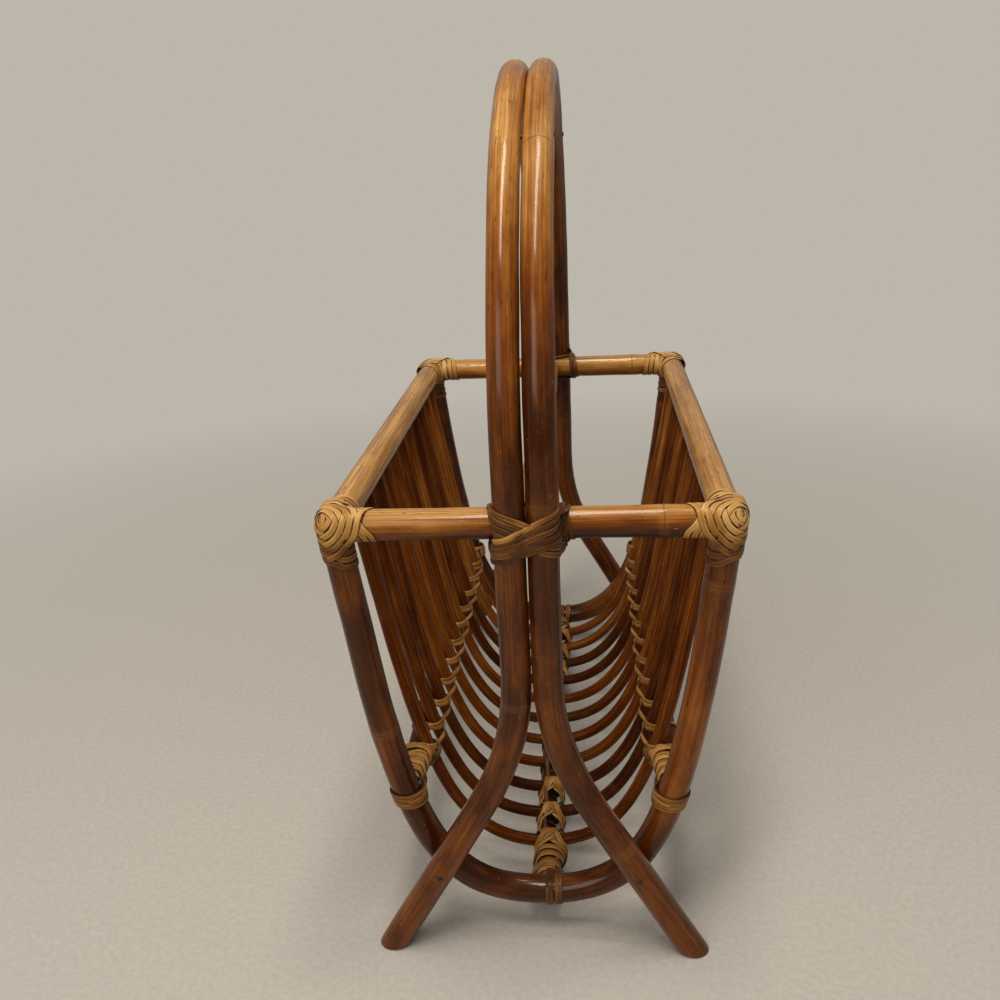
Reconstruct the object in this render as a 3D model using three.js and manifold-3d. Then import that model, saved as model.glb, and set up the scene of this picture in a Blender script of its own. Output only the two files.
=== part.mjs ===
// Magazine basket of bent rattan canes. Eleven thin ribs hang between two side rails and make a
// trough, held by a U shaped frame at each end. Two tall hoops run along the middle: their arch is
// the handle and their four ends splay out as the legs. Every joint is bound with flat cane strip.
// Millimetres, +Z up, X across and Y along the basket, the front end at -Y. The origin is on the
// floor under the middle of the basket.

import * as THREE from "three";
import Module from "manifold-3d";
import { mergeVertices } from "three/addons/utils/BufferGeometryUtils.js";

// Driving dimensions of the frame, all measured to the axes of the canes
const BASKET_LENGTH = 383;
const BASKET_WIDTH = 218;
const RIM_HEIGHT = 280;
const HANDLE_HEIGHT = 517;
const END_FRAME_BOTTOM = 28;
const RIB_BOTTOM = 30.5;

// Cane diameters
const HOOP_DIAMETER = 17.5;
const END_FRAME_DIAMETER = 17.5;
const CROSSBAR_DIAMETER = 17.8;
const RAIL_DIAMETER = 18.4;
const CENTRE_RAIL_DIAMETER = 16;
const RIB_DIAMETER = 8;
const STRINGER_DIAMETER = 11.5;

// Clearance between pieces that touch, and how far a cutting tool runs past what it cuts
const SEAT_GAP = 0.3;
const OVERRUN = 12;

// Legs: the floor point of each foot, the lean of the splayed stretch and the bend above it
const FOOT_SPREAD = 188;
const LEG_SPLAY = THREE.MathUtils.degToRad(30);
const LEG_BEND_RADIUS = 165;
const HOOP_SPACING_GAP = 0.6;

// How far above the rim the hoops start to bend over into the arch
const ARCH_LIFT = 27.5;

// End frames and ribs: how straight each U leaves its bottom and how far its sides hang
const END_FRAME_BOTTOM_REACH = 78;
const END_FRAME_SIDE_REACH = 180;
const END_FRAME_SIDE_LEAN = 20.7;
const RIB_COUNT = 11;
const RIB_PITCH = 29.6;
const RIB_BOTTOM_REACH = 70;
const RIB_SIDE_REACH = 165;
const RIB_SIDE_LEAN = 28;
const RIB_TOP_INSET = 1.5;
const SOCKET_DEPTH = 5;
const SIDE_STRINGER_SHARE = 0.55;

// How far a saddled end laps the cane that it butts against, and how far the crossbars' ends stay
// inside the outer faces of the rails
const SADDLE_LAP = 5;
const CROSSBAR_SET_BACK = 2;

// Nails and brads
const NAIL_DIAMETER = 2.2;
const NAIL_HEAD_DIAMETER = 5;
const NAIL_HEAD_THICKNESS = 0.8;
const NAIL_BITE = 14;
const BRAD_BITE = 12;
const CORNER_NAIL_STAGGER = 3;
const SHOULDER_NAIL_ANGLE = THREE.MathUtils.degToRad(35);

// Flat cane strip of the bindings, and the spacing of its turns
const STRIP_WIDTH = 3;
const STRIP_THICKNESS = 1;
const STRIP_PITCH = 4.5;
const LAYER_RISE = 2;
const CORNER_RAIL_TURNS = 2;
const CORNER_POST_TURNS = 3;
const CORNER_BAR_TURNS = 3;
const CORNER_OVERTURN_SHARE = 0.25;
const CORNER_CROSSING_SHARES = [0.125, 0.625];
const HOOP_LASHING_TURNS = 3;
const HOOP_LASHING_SLOPE = THREE.MathUtils.degToRad(30);
const HOOP_LASHING_CHAMFER_SHARE = 0.5;
const HOOP_LASHING_CLEARANCE = 2.4;
const HOOP_LASHING_PLACE_PITCH = 5.5;
const HOOP_LASHING_TUCK = 6;
const END_LASHING_FRAME_TURNS = 2;
const END_LASHING_STRINGER_TURNS = 3;
const END_LASHING_OVERTURN_SHARE = 0.3;
const CHAIN_CROSSING_WIDTH = 8;
const CHAIN_SIDE_LEAD = 9;

// Facets: sides of each round section and steps of each bend
const POLE_SIDES = 12;
const RIB_SIDES = 8;
const NAIL_SIDES = 6;
const ARCH_STEPS = 18;
const LEG_BEND_STEPS = 4;
const END_FRAME_STEPS = 20;
const RIB_STEPS = 18;
const TURN_STEPS = 10;
const SMALL_TURN_STEPS = 8;
const BACK_PASS_STEPS = 5;
const CHAIN_SIDE_STEPS = 4;
const SOCKET_STATIONS = 3;

// Tolerances of the modelling itself
const MERGE_TOLERANCE = 1e-4;
const ROUNDING = 1e-9;
const ROOT_HALVINGS = 40;
const NEIGHBOUR_WIDTHS = 4;

// Finishes, read from the photograph
const FINISHES = {
  hoop: { color: 0x9c5f2a, roughness: 0.3, metalness: 0 },
  rim: { color: 0xb98446, roughness: 0.34, metalness: 0 },
  frame: { color: 0x70401f, roughness: 0.36, metalness: 0 },
  rib: { color: 0x59341d, roughness: 0.42, metalness: 0 },
  strip: { color: 0xb98a4b, roughness: 0.45, metalness: 0 },
  steel: { color: 0x57524c, roughness: 0.5, metalness: 0.9 },
};

// Sizes and places that follow from the driving dimensions
const hoopRadius = HOOP_DIAMETER / 2;
const endFrameRadius = END_FRAME_DIAMETER / 2;
const crossbarRadius = CROSSBAR_DIAMETER / 2;
const railRadius = RAIL_DIAMETER / 2;
const centreRailRadius = CENTRE_RAIL_DIAMETER / 2;
const ribRadius = RIB_DIAMETER / 2;
const stringerRadius = STRINGER_DIAMETER / 2;
const nailRadius = NAIL_DIAMETER / 2;
const halfLength = BASKET_LENGTH / 2;
const halfWidth = BASKET_WIDTH / 2;
const hoopOffset = crossbarRadius + SEAT_GAP + hoopRadius;
const hoopPlane = halfLength + hoopOffset;
const hoopCentre = hoopRadius + HOOP_SPACING_GAP / 2;
const archSpring = RIM_HEIGHT + ARCH_LIFT;
const archRise = HANDLE_HEIGHT - archSpring;
const stripLift = SEAT_GAP + STRIP_THICKNESS / 2;
const stripClearance = stripLift + STRIP_WIDTH / 2 + SEAT_GAP * 2;

const vector = (x, y, z) => new THREE.Vector3(x, y, z);
const UP = vector(0, 0, 1);
const REARWARD = vector(0, 1, 0);
const ENDS = [
  { name: "front", sign: -1 },
  { name: "rear", sign: 1 },
];
const SIDES = [
  { name: "left", sign: -1 },
  { name: "right", sign: 1 },
];

const wasm = await Module();
wasm.setup();

// A path through given stations, with a section at each of them and none between
class StationPath extends THREE.Curve {
  constructor(stations) {
    super();
    this.stations = stations;
  }

  getUtoTmapping(u) {
    return u;
  }

  getPoint(t, target = new THREE.Vector3()) {
    const last = this.stations.length - 1;
    const index = Math.min(Math.floor(t * last + ROUNDING), last - 1);
    return target.lerpVectors(this.stations[index], this.stations[index + 1], t * last - index);
  }

  getTangent(t, target = new THREE.Vector3()) {
    const last = this.stations.length - 1;
    const index = Math.round(t * last);
    const here = this.stations[index];
    const before = here.clone().sub(this.stations[Math.max(index - 1, 0)]).normalize();
    const after = this.stations[Math.min(index + 1, last)].clone().sub(here).normalize();
    return target.addVectors(before, after).normalize();
  }
}

// A round section as a polygon with one corner on its first axis
function roundSection(radius, sides) {
  const corners = [];
  for (let index = 0; index < sides; index += 1) {
    const angle = (index / sides) * Math.PI * 2;
    corners.push(new THREE.Vector2(radius * Math.cos(angle), radius * Math.sin(angle)));
  }
  return new THREE.Shape(corners);
}

// A cane through stations
function caneGeometry(stations, radius, sides = POLE_SIDES) {
  return new THREE.ExtrudeGeometry(roundSection(radius, sides), {
    steps: stations.length - 1,
    extrudePath: new StationPath(stations),
    bevelEnabled: false,
  });
}

// A closed geometry as a solid that can be joined and cut
function solidOf(geometry) {
  const bare = geometry.clone();
  bare.deleteAttribute("normal");
  bare.deleteAttribute("uv");
  const merged = mergeVertices(bare, MERGE_TOLERANCE);
  return new wasm.Manifold(
    new wasm.Mesh({
      numProp: 3,
      vertProperties: merged.attributes.position.array,
      triVerts: Uint32Array.from(merged.index.array),
    }),
  );
}

// A solid as a geometry again
function geometryOf(solid) {
  const mesh = solid.getMesh();
  const geometry = new THREE.BufferGeometry();
  geometry.setAttribute("position", new THREE.BufferAttribute(Float32Array.from(mesh.vertProperties), 3));
  geometry.setIndex(new THREE.BufferAttribute(Uint32Array.from(mesh.triVerts), 1));
  geometry.computeVertexNormals();
  return geometry;
}

// A geometry with solids taken out of it
function cut(geometry, cutters) {
  let solid = solidOf(geometry);
  for (const cutter of cutters) {
    solid = solid.subtract(cutter);
  }
  return geometryOf(solid);
}

function piece(name, geometry, finish) {
  const mesh = new THREE.Mesh(geometry, new THREE.MeshStandardMaterial(FINISHES[finish]));
  mesh.name = name;
  return mesh;
}

// Stations of one hoop, from its front foot over the handle arch to its rear foot
function hoopStations(side) {
  const foot = FOOT_SPREAD / 2;
  const cornerHeight = (foot - hoopCentre) / Math.tan(LEG_SPLAY);
  const bendTop = cornerHeight + LEG_BEND_RADIUS * Math.tan(LEG_SPLAY / 2);
  const below = vector(foot + OVERRUN * Math.tan(LEG_SPLAY), hoopPlane, -OVERRUN);
  const leg = [below];
  for (let step = LEG_BEND_STEPS; step >= 0; step -= 1) {
    const angle = (step / LEG_BEND_STEPS) * LEG_SPLAY;
    const x = hoopCentre + LEG_BEND_RADIUS * (1 - Math.cos(angle));
    leg.push(vector(x, hoopPlane, bendTop - LEG_BEND_RADIUS * Math.sin(angle)));
  }
  const front = leg.map((point) => vector(side * point.x, -point.y, point.z));
  const rear = leg.map((point) => vector(side * point.x, point.y, point.z)).reverse();
  const arch = [];
  for (let step = 0; step <= ARCH_STEPS; step += 1) {
    const angle = (step / ARCH_STEPS) * Math.PI;
    const y = -hoopPlane * Math.cos(angle);
    arch.push(vector(side * hoopCentre, y, archSpring + archRise * Math.sin(angle)));
  }
  return [...front, ...arch, ...rear];
}

// Everything below the floor, which cuts the feet flat
function floorBlock() {
  const block = new THREE.BoxGeometry(BASKET_LENGTH * 2, BASKET_LENGTH * 2, OVERRUN * 2 + HOOP_DIAMETER);
  block.translate(0, 0, -OVERRUN - hoopRadius);
  return solidOf(block);
}

// Half of a U from its bottom to its top, as one smooth curve in the plane across the basket
function halfU({ side, y, bottom, top, reaches, lean }) {
  const [bottomReach, sideReach] = reaches;
  return new THREE.CubicBezierCurve3(
    vector(0, y, bottom),
    vector(side * bottomReach, y, bottom),
    vector(side * (top.x - lean), y, top.z - sideReach),
    vector(side * top.x, y, top.z),
  );
}

function endFrameHalf(side, y) {
  const top = vector(halfWidth, 0, RIM_HEIGHT);
  const reaches = [END_FRAME_BOTTOM_REACH, END_FRAME_SIDE_REACH];
  return halfU({ side, y, bottom: END_FRAME_BOTTOM, top, reaches, lean: END_FRAME_SIDE_LEAN });
}

function ribHalf(side, y, extra = 0) {
  const top = vector(halfWidth - RIB_TOP_INSET, 0, RIM_HEIGHT - railRadius + SOCKET_DEPTH + extra);
  const reaches = [RIB_BOTTOM_REACH, RIB_SIDE_REACH + extra];
  return halfU({ side, y, bottom: RIB_BOTTOM, top, reaches, lean: RIB_SIDE_LEAN });
}

// Stations of a whole U from its two halves
function uStations(leftHalf, rightHalf, steps) {
  const left = leftHalf.getPoints(steps / 2).reverse();
  return [...left, ...rightHalf.getPoints(steps / 2).slice(1)];
}

// The end frame's top end stops a little under the crossbar's axis
function endFrameStations(y) {
  const topLimit = RIM_HEIGHT - crossbarRadius + SADDLE_LAP;
  const stations = uStations(endFrameHalf(-1, y), endFrameHalf(1, y), END_FRAME_STEPS);
  const trimmed = stations.filter((point) => point.z < topLimit);
  const lean = END_FRAME_SIDE_LEAN / END_FRAME_SIDE_REACH;
  const topX = halfWidth - (RIM_HEIGHT - topLimit) * lean;
  return [vector(-topX, y, topLimit), ...trimmed, vector(topX, y, topLimit)];
}

function crossbarStations(y, extra = 0) {
  const reach = halfWidth + railRadius - CROSSBAR_SET_BACK + extra;
  return [vector(-reach, y, RIM_HEIGHT), vector(reach, y, RIM_HEIGHT)];
}

function railStations(x) {
  const reach = halfLength - crossbarRadius + SADDLE_LAP;
  return [vector(x, -reach, RIM_HEIGHT), vector(x, reach, RIM_HEIGHT)];
}

function ribPlace(index) {
  return (index - (RIB_COUNT - 1) / 2) * RIB_PITCH;
}

// The point of a U half and the direction from the inside of the basket out, at a share of its curve
function outwardAt(half, share) {
  const at = half.getPoint(share);
  const along = half.getTangent(share);
  const outward = new THREE.Vector3().crossVectors(along, REARWARD);
  if (outward.z > 0) {
    outward.negate();
  }
  return { at, along, outward };
}

// Stringers lie against the outside of the ribs: left, right and under the middle
function stringerAxes() {
  const lift = ribRadius + SEAT_GAP + stringerRadius;
  const places = [
    { name: "left", side: -1, share: SIDE_STRINGER_SHARE },
    { name: "right", side: 1, share: SIDE_STRINGER_SHARE },
    { name: "bottom", side: 1, share: 0 },
  ];
  return places.map(({ name, side, share }) => {
    const { at, along, outward } = outwardAt(ribHalf(side, 0), share);
    return { name, side, centre: at.addScaledVector(outward, lift), along, outward };
  });
}

// A round cutter one seat gap larger than a cane
function caneCutter(stations, radius, sides = POLE_SIDES) {
  return solidOf(caneGeometry(stations, radius + SEAT_GAP, sides));
}

// The share of a curve, counted from its start, up to which a test holds
function lastShare(holds) {
  let low = 0;
  let high = 1;
  for (let halving = 0; halving < ROOT_HALVINGS; halving += 1) {
    const middle = (low + high) / 2;
    if (holds(middle)) {
      low = middle;
    } else {
      high = middle;
    }
  }
  return low;
}

// Where a front view of a leg crosses the lower part of the end frame behind it
function legCrossing() {
  const half = endFrameHalf(1, 0);
  const inside = (point) => point.x < FOOT_SPREAD / 2 - point.z * Math.tan(LEG_SPLAY);
  return half.getPoint(lastShare((share) => inside(half.getPoint(share))));
}

// Nails that hold the crossbar on the end frame and the rail at one corner
function cornerNails(end, side) {
  const y = end.sign * halfLength;
  const length = CROSSBAR_DIAMETER + SEAT_GAP + NAIL_BITE;
  const lift = crossbarRadius + SEAT_GAP;
  return [
    {
      name: `post_nail_${end.name}_${side.name}`,
      seat: vector(side.sign * (halfWidth - CORNER_NAIL_STAGGER), y, RIM_HEIGHT + lift),
      way: UP.clone().negate(),
      length,
      through: [`crossbar_${end.name}`, `end_frame_${end.name}`],
    },
    {
      name: `rail_nail_${end.name}_${side.name}`,
      seat: vector(side.sign * (halfWidth + CORNER_NAIL_STAGGER), y + end.sign * lift, RIM_HEIGHT),
      way: vector(0, -end.sign, 0),
      length,
      through: [`crossbar_${end.name}`, `rail_${side.name}`],
    },
  ];
}

// Nails that hold one hoop on the crossbar and its leg on the end frame
function hoopNails(end, side, crossing) {
  const y = end.sign * (hoopPlane + hoopRadius + SEAT_GAP);
  const way = vector(0, -end.sign, 0);
  const length = HOOP_DIAMETER + SEAT_GAP * 2 + NAIL_BITE;
  return [
    {
      name: `hoop_nail_${end.name}_${side.name}`,
      seat: vector(side.sign * hoopCentre, y, RIM_HEIGHT),
      way,
      length,
      through: [`hoop_${side.name}`, `crossbar_${end.name}`],
    },
    {
      name: `leg_nail_${end.name}_${side.name}`,
      seat: vector(side.sign * crossing.x, y, crossing.z),
      way,
      length,
      through: [`hoop_${side.name}`, `end_frame_${end.name}`],
    },
  ];
}

// The nail through both hoops at a shoulder of the arch
function shoulderNail(end) {
  const across = hoopCentre + hoopRadius + SEAT_GAP;
  const y = end.sign * hoopPlane * Math.sin(SHOULDER_NAIL_ANGLE);
  return {
    name: `shoulder_nail_${end.name}`,
    seat: vector(across, y, archSpring + archRise * Math.cos(SHOULDER_NAIL_ANGLE)),
    way: vector(-1, 0, 0),
    length: HOOP_DIAMETER + HOOP_SPACING_GAP + SEAT_GAP + NAIL_BITE,
    through: ["hoop_left", "hoop_right"],
  };
}

// The headless brad that holds an end of the centre rail
function centreRailBrad(end) {
  return {
    name: `centre_rail_brad_${end.name}`,
    seat: vector(0, end.sign * (halfLength + crossbarRadius - NAIL_DIAMETER), RIM_HEIGHT),
    way: vector(0, -end.sign, 0),
    length: CROSSBAR_DIAMETER - NAIL_DIAMETER + BRAD_BITE,
    through: [`crossbar_${end.name}`, "centre_rail"],
    headless: true,
  };
}

// Every nail: the seat of its head, the way it is driven, its length and the pieces it goes through
function nailList() {
  const crossing = legCrossing();
  return ENDS.flatMap((end) => [
    ...SIDES.flatMap((side) => [...cornerNails(end, side), ...hoopNails(end, side, crossing)]),
    shoulderNail(end),
    centreRailBrad(end),
  ]);
}

const nails = nailList();

// A nail's profile, from the middle of its head down to its tip
function nailProfile({ length, headless }) {
  const shank = [new THREE.Vector2(nailRadius, length), new THREE.Vector2(0, length)];
  if (headless) {
    return [new THREE.Vector2(0, 0), new THREE.Vector2(nailRadius, 0), ...shank];
  }
  return [
    new THREE.Vector2(0, -NAIL_HEAD_THICKNESS),
    new THREE.Vector2(NAIL_HEAD_DIAMETER / 2, -NAIL_HEAD_THICKNESS),
    new THREE.Vector2(NAIL_HEAD_DIAMETER / 2, 0),
    new THREE.Vector2(nailRadius, 0),
    ...shank,
  ];
}

function nailMesh(nail) {
  const mesh = piece(nail.name, new THREE.LatheGeometry(nailProfile(nail), NAIL_SIDES), "steel");
  mesh.quaternion.setFromUnitVectors(REARWARD, nail.way);
  mesh.position.copy(nail.seat);
  return mesh;
}

// The holes that a piece's nails need, each a seat gap wider and deeper than the nail
function nailHoles(pieceName) {
  return nails
    .filter((nail) => nail.through.includes(pieceName))
    .map((nail) => {
      const start = nail.seat.clone().addScaledVector(nail.way, nail.headless ? -OVERRUN : -SEAT_GAP);
      const end = nail.seat.clone().addScaledVector(nail.way, nail.length + SEAT_GAP);
      return caneCutter([start, end], nailRadius, NAIL_SIDES);
    });
}

function hoops() {
  const floor = floorBlock();
  return SIDES.map(({ name, sign }) => {
    const geometry = caneGeometry(hoopStations(sign), hoopRadius);
    return piece(`hoop_${name}`, cut(geometry, [floor, ...nailHoles(`hoop_${name}`)]), "hoop");
  });
}

function crossbars() {
  return ENDS.map(({ name, sign }) => {
    const geometry = caneGeometry(crossbarStations(sign * halfLength), crossbarRadius);
    return piece(`crossbar_${name}`, cut(geometry, nailHoles(`crossbar_${name}`)), "rim");
  });
}

function crossbarCutters() {
  return ENDS.map(({ sign }) => caneCutter(crossbarStations(sign * halfLength, OVERRUN), crossbarRadius));
}

function endFrames() {
  const railCutters = SIDES.map(({ sign }) => caneCutter(railStations(sign * halfWidth), railRadius));
  const barCutters = crossbarCutters();
  return ENDS.map(({ name, sign }) => {
    const geometry = caneGeometry(endFrameStations(sign * halfLength), endFrameRadius);
    const cutters = [...barCutters, ...railCutters, ...nailHoles(`end_frame_${name}`)];
    return piece(`end_frame_${name}`, cut(geometry, cutters), "frame");
  });
}

// Side rails, saddled over the crossbars, with a socket for each rib's end
function rails() {
  const barCutters = crossbarCutters();
  return SIDES.map(({ name, sign }) => {
    const sockets = [];
    for (let index = 0; index < RIB_COUNT; index += 1) {
      const half = ribHalf(sign, ribPlace(index), SEAT_GAP);
      sockets.push(caneCutter(half.getPoints(RIB_STEPS / 2).slice(-SOCKET_STATIONS), ribRadius, RIB_SIDES));
    }
    const cutters = [...barCutters, ...sockets, ...nailHoles(`rail_${name}`)];
    return piece(`rail_${name}`, cut(caneGeometry(railStations(sign * halfWidth), railRadius), cutters), "rim");
  });
}

function centreRail() {
  const geometry = caneGeometry(railStations(0), centreRailRadius);
  return piece("centre_rail", cut(geometry, [...crossbarCutters(), ...nailHoles("centre_rail")]), "rim");
}

function ribs() {
  const pieces = [];
  for (let index = 0; index < RIB_COUNT; index += 1) {
    const y = ribPlace(index);
    const stations = uStations(ribHalf(-1, y), ribHalf(1, y), RIB_STEPS);
    pieces.push(piece(`rib_${index + 1}`, caneGeometry(stations, ribRadius, RIB_SIDES), "rib"));
  }
  return pieces;
}

// Stringers reach the end frames' planes and are notched around them
function stringers() {
  const frameCutters = ENDS.map(({ sign }) => caneCutter(endFrameStations(sign * halfLength), endFrameRadius));
  return stringerAxes().map(({ name, centre }) => {
    const stations = [-1, 1].map((sign) => vector(centre.x, sign * halfLength, centre.z));
    return piece(`stringer_${name}`, cut(caneGeometry(stations, stringerRadius), frameCutters), "frame");
  });
}

// The two triangles of a warped quad, split along the diagonal that stands out, so that the faces
// of a thin strip never pass through each other where it twists
function bulgingPair(points, a, b, c, d) {
  const normal = new THREE.Vector3();
  new THREE.Triangle(points[a], points[b], points[c]).getNormal(normal);
  const hollow = normal.dot(points[d].clone().sub(points[a])) > 0;
  return hollow ? [a, b, d, b, c, d] : [a, b, c, a, c, d];
}

// A flat strip along a route. Each point of the route has the direction that the strip faces there.
function stripGeometry(route) {
  const last = route.length - 1;
  const rings = route.map(({ at, facing }, index) => {
    const arriving = at.clone().sub(route[Math.max(index - 1, 0)].at).normalize();
    const leaving = route[Math.min(index + 1, last)].at.clone().sub(at).normalize();
    const along = arriving.add(leaving).normalize();
    const outward = facing.clone().addScaledVector(along, -facing.dot(along)).normalize();
    const aside = new THREE.Vector3().crossVectors(outward, along);
    const corner = (wide, high) =>
      at
        .clone()
        .addScaledVector(aside, (wide * STRIP_WIDTH) / 2)
        .addScaledVector(outward, (high * STRIP_THICKNESS) / 2);
    return [corner(-1, -1), corner(1, -1), corner(1, 1), corner(-1, 1)];
  });
  const size = rings[0].length;
  const faces = [0, 2, 1, 0, 3, 2];
  const corners = rings.flat();
  for (let ring = 0; ring < last; ring += 1) {
    for (let corner = 0; corner < size; corner += 1) {
      const here = ring * size + corner;
      const beside = ring * size + ((corner + 1) % size);
      faces.push(...bulgingPair(corners, here, beside, beside + size, here + size));
    }
  }
  const end = last * size;
  faces.push(end, end + 1, end + 2, end, end + 2, end + 3);
  const geometry = new THREE.BufferGeometry();
  geometry.setFromPoints(corners);
  geometry.setIndex(faces);
  geometry.computeVertexNormals();
  return geometry;
}

// Turns round a spine, whose function gives the point and the direction at a distance along it.
// They start on the side `first` and turn towards the side `toward`.
function turns({ spine, from, pitch, count, radius, first, toward, steps }) {
  const route = [];
  const reach = (radius + stripLift) / Math.cos(Math.PI / steps);
  for (let step = 0; step <= count * steps; step += 1) {
    const angle = (step / steps) * Math.PI * 2;
    const { at, along } = spine(from + (pitch * step) / steps);
    const start = first.clone().addScaledVector(along, -first.dot(along)).normalize();
    const quarter = new THREE.Vector3().crossVectors(along, start);
    quarter.multiplyScalar(Math.sign(quarter.dot(toward)));
    const facing = start.multiplyScalar(Math.cos(angle)).addScaledVector(quarter, Math.sin(angle));
    route.push({ at: at.clone().addScaledVector(facing, reach), facing });
  }
  return route;
}

function straightSpine(origin, direction) {
  return (s) => ({ at: origin.clone().addScaledVector(direction, s), along: direction.clone() });
}

// A spine along one half of an end frame, with distances counted from where it has a given height
function frameSpine(half, height, sense) {
  const line = new THREE.CurvePath();
  const points = half.getPoints(END_FRAME_STEPS / 2);
  points.slice(1).forEach((point, index) => line.add(new THREE.LineCurve3(points[index], point)));
  const length = line.getLength();
  const origin = lastShare((share) => line.getPointAt(share).z < height);
  return (s) => {
    const share = origin + (sense * s) / length;
    return { at: line.getPointAt(share), along: half.getTangentAt(share).multiplyScalar(sense) };
  };
}

// Corner binding: turns on the rail, over the outside of the corner, turns down the end frame,
// across the front of the corner on a second layer, and turns along the crossbar
function cornerRoute(side, end) {
  const corner = vector(side * halfWidth, end * halfLength, RIM_HEIGHT);
  const out = vector(side, 0, 0);
  const forward = vector(0, end, 0);
  const down = UP.clone().negate();
  const clear = railRadius + stripClearance;
  const railTurns = turns({
    spine: straightSpine(corner, vector(0, -end, 0)),
    from: clear + STRIP_PITCH * CORNER_RAIL_TURNS,
    pitch: -STRIP_PITCH,
    count: CORNER_RAIL_TURNS,
    radius: railRadius,
    first: out,
    toward: down,
    steps: TURN_STEPS,
  });
  const postTurns = turns({
    spine: frameSpine(endFrameHalf(side, end * halfLength), RIM_HEIGHT, -1),
    from: clear,
    pitch: STRIP_PITCH,
    count: CORNER_POST_TURNS + CORNER_OVERTURN_SHARE,
    radius: endFrameRadius,
    first: out,
    toward: forward,
    steps: TURN_STEPS,
  });
  const barTurns = turns({
    spine: straightSpine(corner, vector(-side, 0, 0)),
    from: clear,
    pitch: STRIP_PITCH,
    count: CORNER_BAR_TURNS,
    radius: crossbarRadius,
    first: forward,
    toward: UP,
    steps: TURN_STEPS,
  });
  const leaving = postTurns[postTurns.length - 1].at;
  const arriving = barTurns[0].at;
  const crossing = CORNER_CROSSING_SHARES.map((share) => ({
    at: leaving.clone().lerp(arriving, share).addScaledVector(forward, LAYER_RISE),
    facing: forward,
  }));
  return [...railTurns, ...postTurns, ...crossing, ...barTurns];
}

// Points of a hoop lashing are counted across, out from the crossbar's axis and up, and are set
// in their place at an end last
const lashPoint = (x, out, z, facing) => ({ x, out, z, facing });

// Half the breadth of a lashed pair of hoops, and the height of a slanting pass at that breadth
const lashHalf = hoopCentre + hoopRadius + stripLift;
const lashHeight = lashHalf * Math.tan(HOOP_LASHING_SLOPE);

// A front pass: a slant across both hoops that falls to one side
function frontPass(side, rise, layer) {
  const front = hoopOffset + hoopRadius + NAIL_HEAD_THICKNESS + STRIP_THICKNESS + SEAT_GAP * 2 + layer;
  const share = HOOP_LASHING_CHAMFER_SHARE;
  const chamfer = hoopRadius * share;
  const corners = [
    [-lashHalf, front - chamfer, -1, share],
    [chamfer - lashHalf, front, -share, 1],
    [lashHalf - chamfer, front, share, 1],
    [lashHalf, front - chamfer, 1, share],
  ];
  return corners.map(([x, out, across, forward]) =>
    lashPoint(side * x, out, rise - (x / lashHalf) * lashHeight, vector(side * across, forward, 0)),
  );
}

// A back pass on one side: from the side of the hoop under the crossbar, up its back, over its top
// and out to the side of the hoop again
function backPass(side, lowPlace, lowHeight, highPlace, highHeight) {
  const eighth = Math.PI / 4;
  const barRing = (crossbarRadius + stripLift) / Math.cos(eighth / 2);
  const elbowOut = hoopOffset - (hoopRadius + stripLift) * Math.tan(eighth / 2);
  const elbowFacing = vector(side, -Math.tan(eighth / 2), 0);
  const elbow = (height) => lashPoint(side * lashHalf, elbowOut, height, elbowFacing);
  const route = [elbow(lowHeight)];
  for (let step = 0; step <= BACK_PASS_STEPS; step += 1) {
    const angle = -eighth * (step + 3 / 2);
    const across = side * (lowPlace + ((highPlace - lowPlace) * step) / BACK_PASS_STEPS);
    const facing = vector(0, Math.cos(angle), Math.sin(angle));
    route.push(lashPoint(across, barRing * facing.y, barRing * facing.z, facing));
  }
  route.push(elbow(highHeight));
  return route;
}

// Hoop lashing: a figure of eight that crosses the front of both hoops and goes behind the
// crossbar on both sides of the centre rail
function hoopLashingRoute(end) {
  const last = HOOP_LASHING_TURNS - 1;
  const rise = (loop) => ((loop - last / 2) * STRIP_PITCH) / Math.cos(HOOP_LASHING_SLOPE);
  const firstPlace = centreRailRadius + HOOP_LASHING_CLEARANCE + STRIP_WIDTH / 2;
  const place = (loop) => firstPlace + HOOP_LASHING_PLACE_PITCH * loop;
  const route = [];
  for (let loop = 0; loop <= last; loop += 1) {
    route.push(
      ...frontPass(1, rise(loop), 0),
      ...backPass(1, place(loop), rise(loop) - lashHeight, place(loop), lashHeight - rise(loop)),
      ...frontPass(-1, -rise(loop), LAYER_RISE),
      ...backPass(
        -1,
        place(last - loop),
        -rise(loop) - lashHeight,
        place(Math.max(last - loop - 1, 0)),
        lashHeight + rise(loop + 1),
      ),
    );
  }
  return route
    .slice(0, -HOOP_LASHING_TUCK)
    .map(({ x, out, z, facing }) => ({
      at: vector(x, end * (halfLength + out), RIM_HEIGHT + z),
      facing: vector(facing.x, end * facing.y, facing.z),
    }));
}

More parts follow.
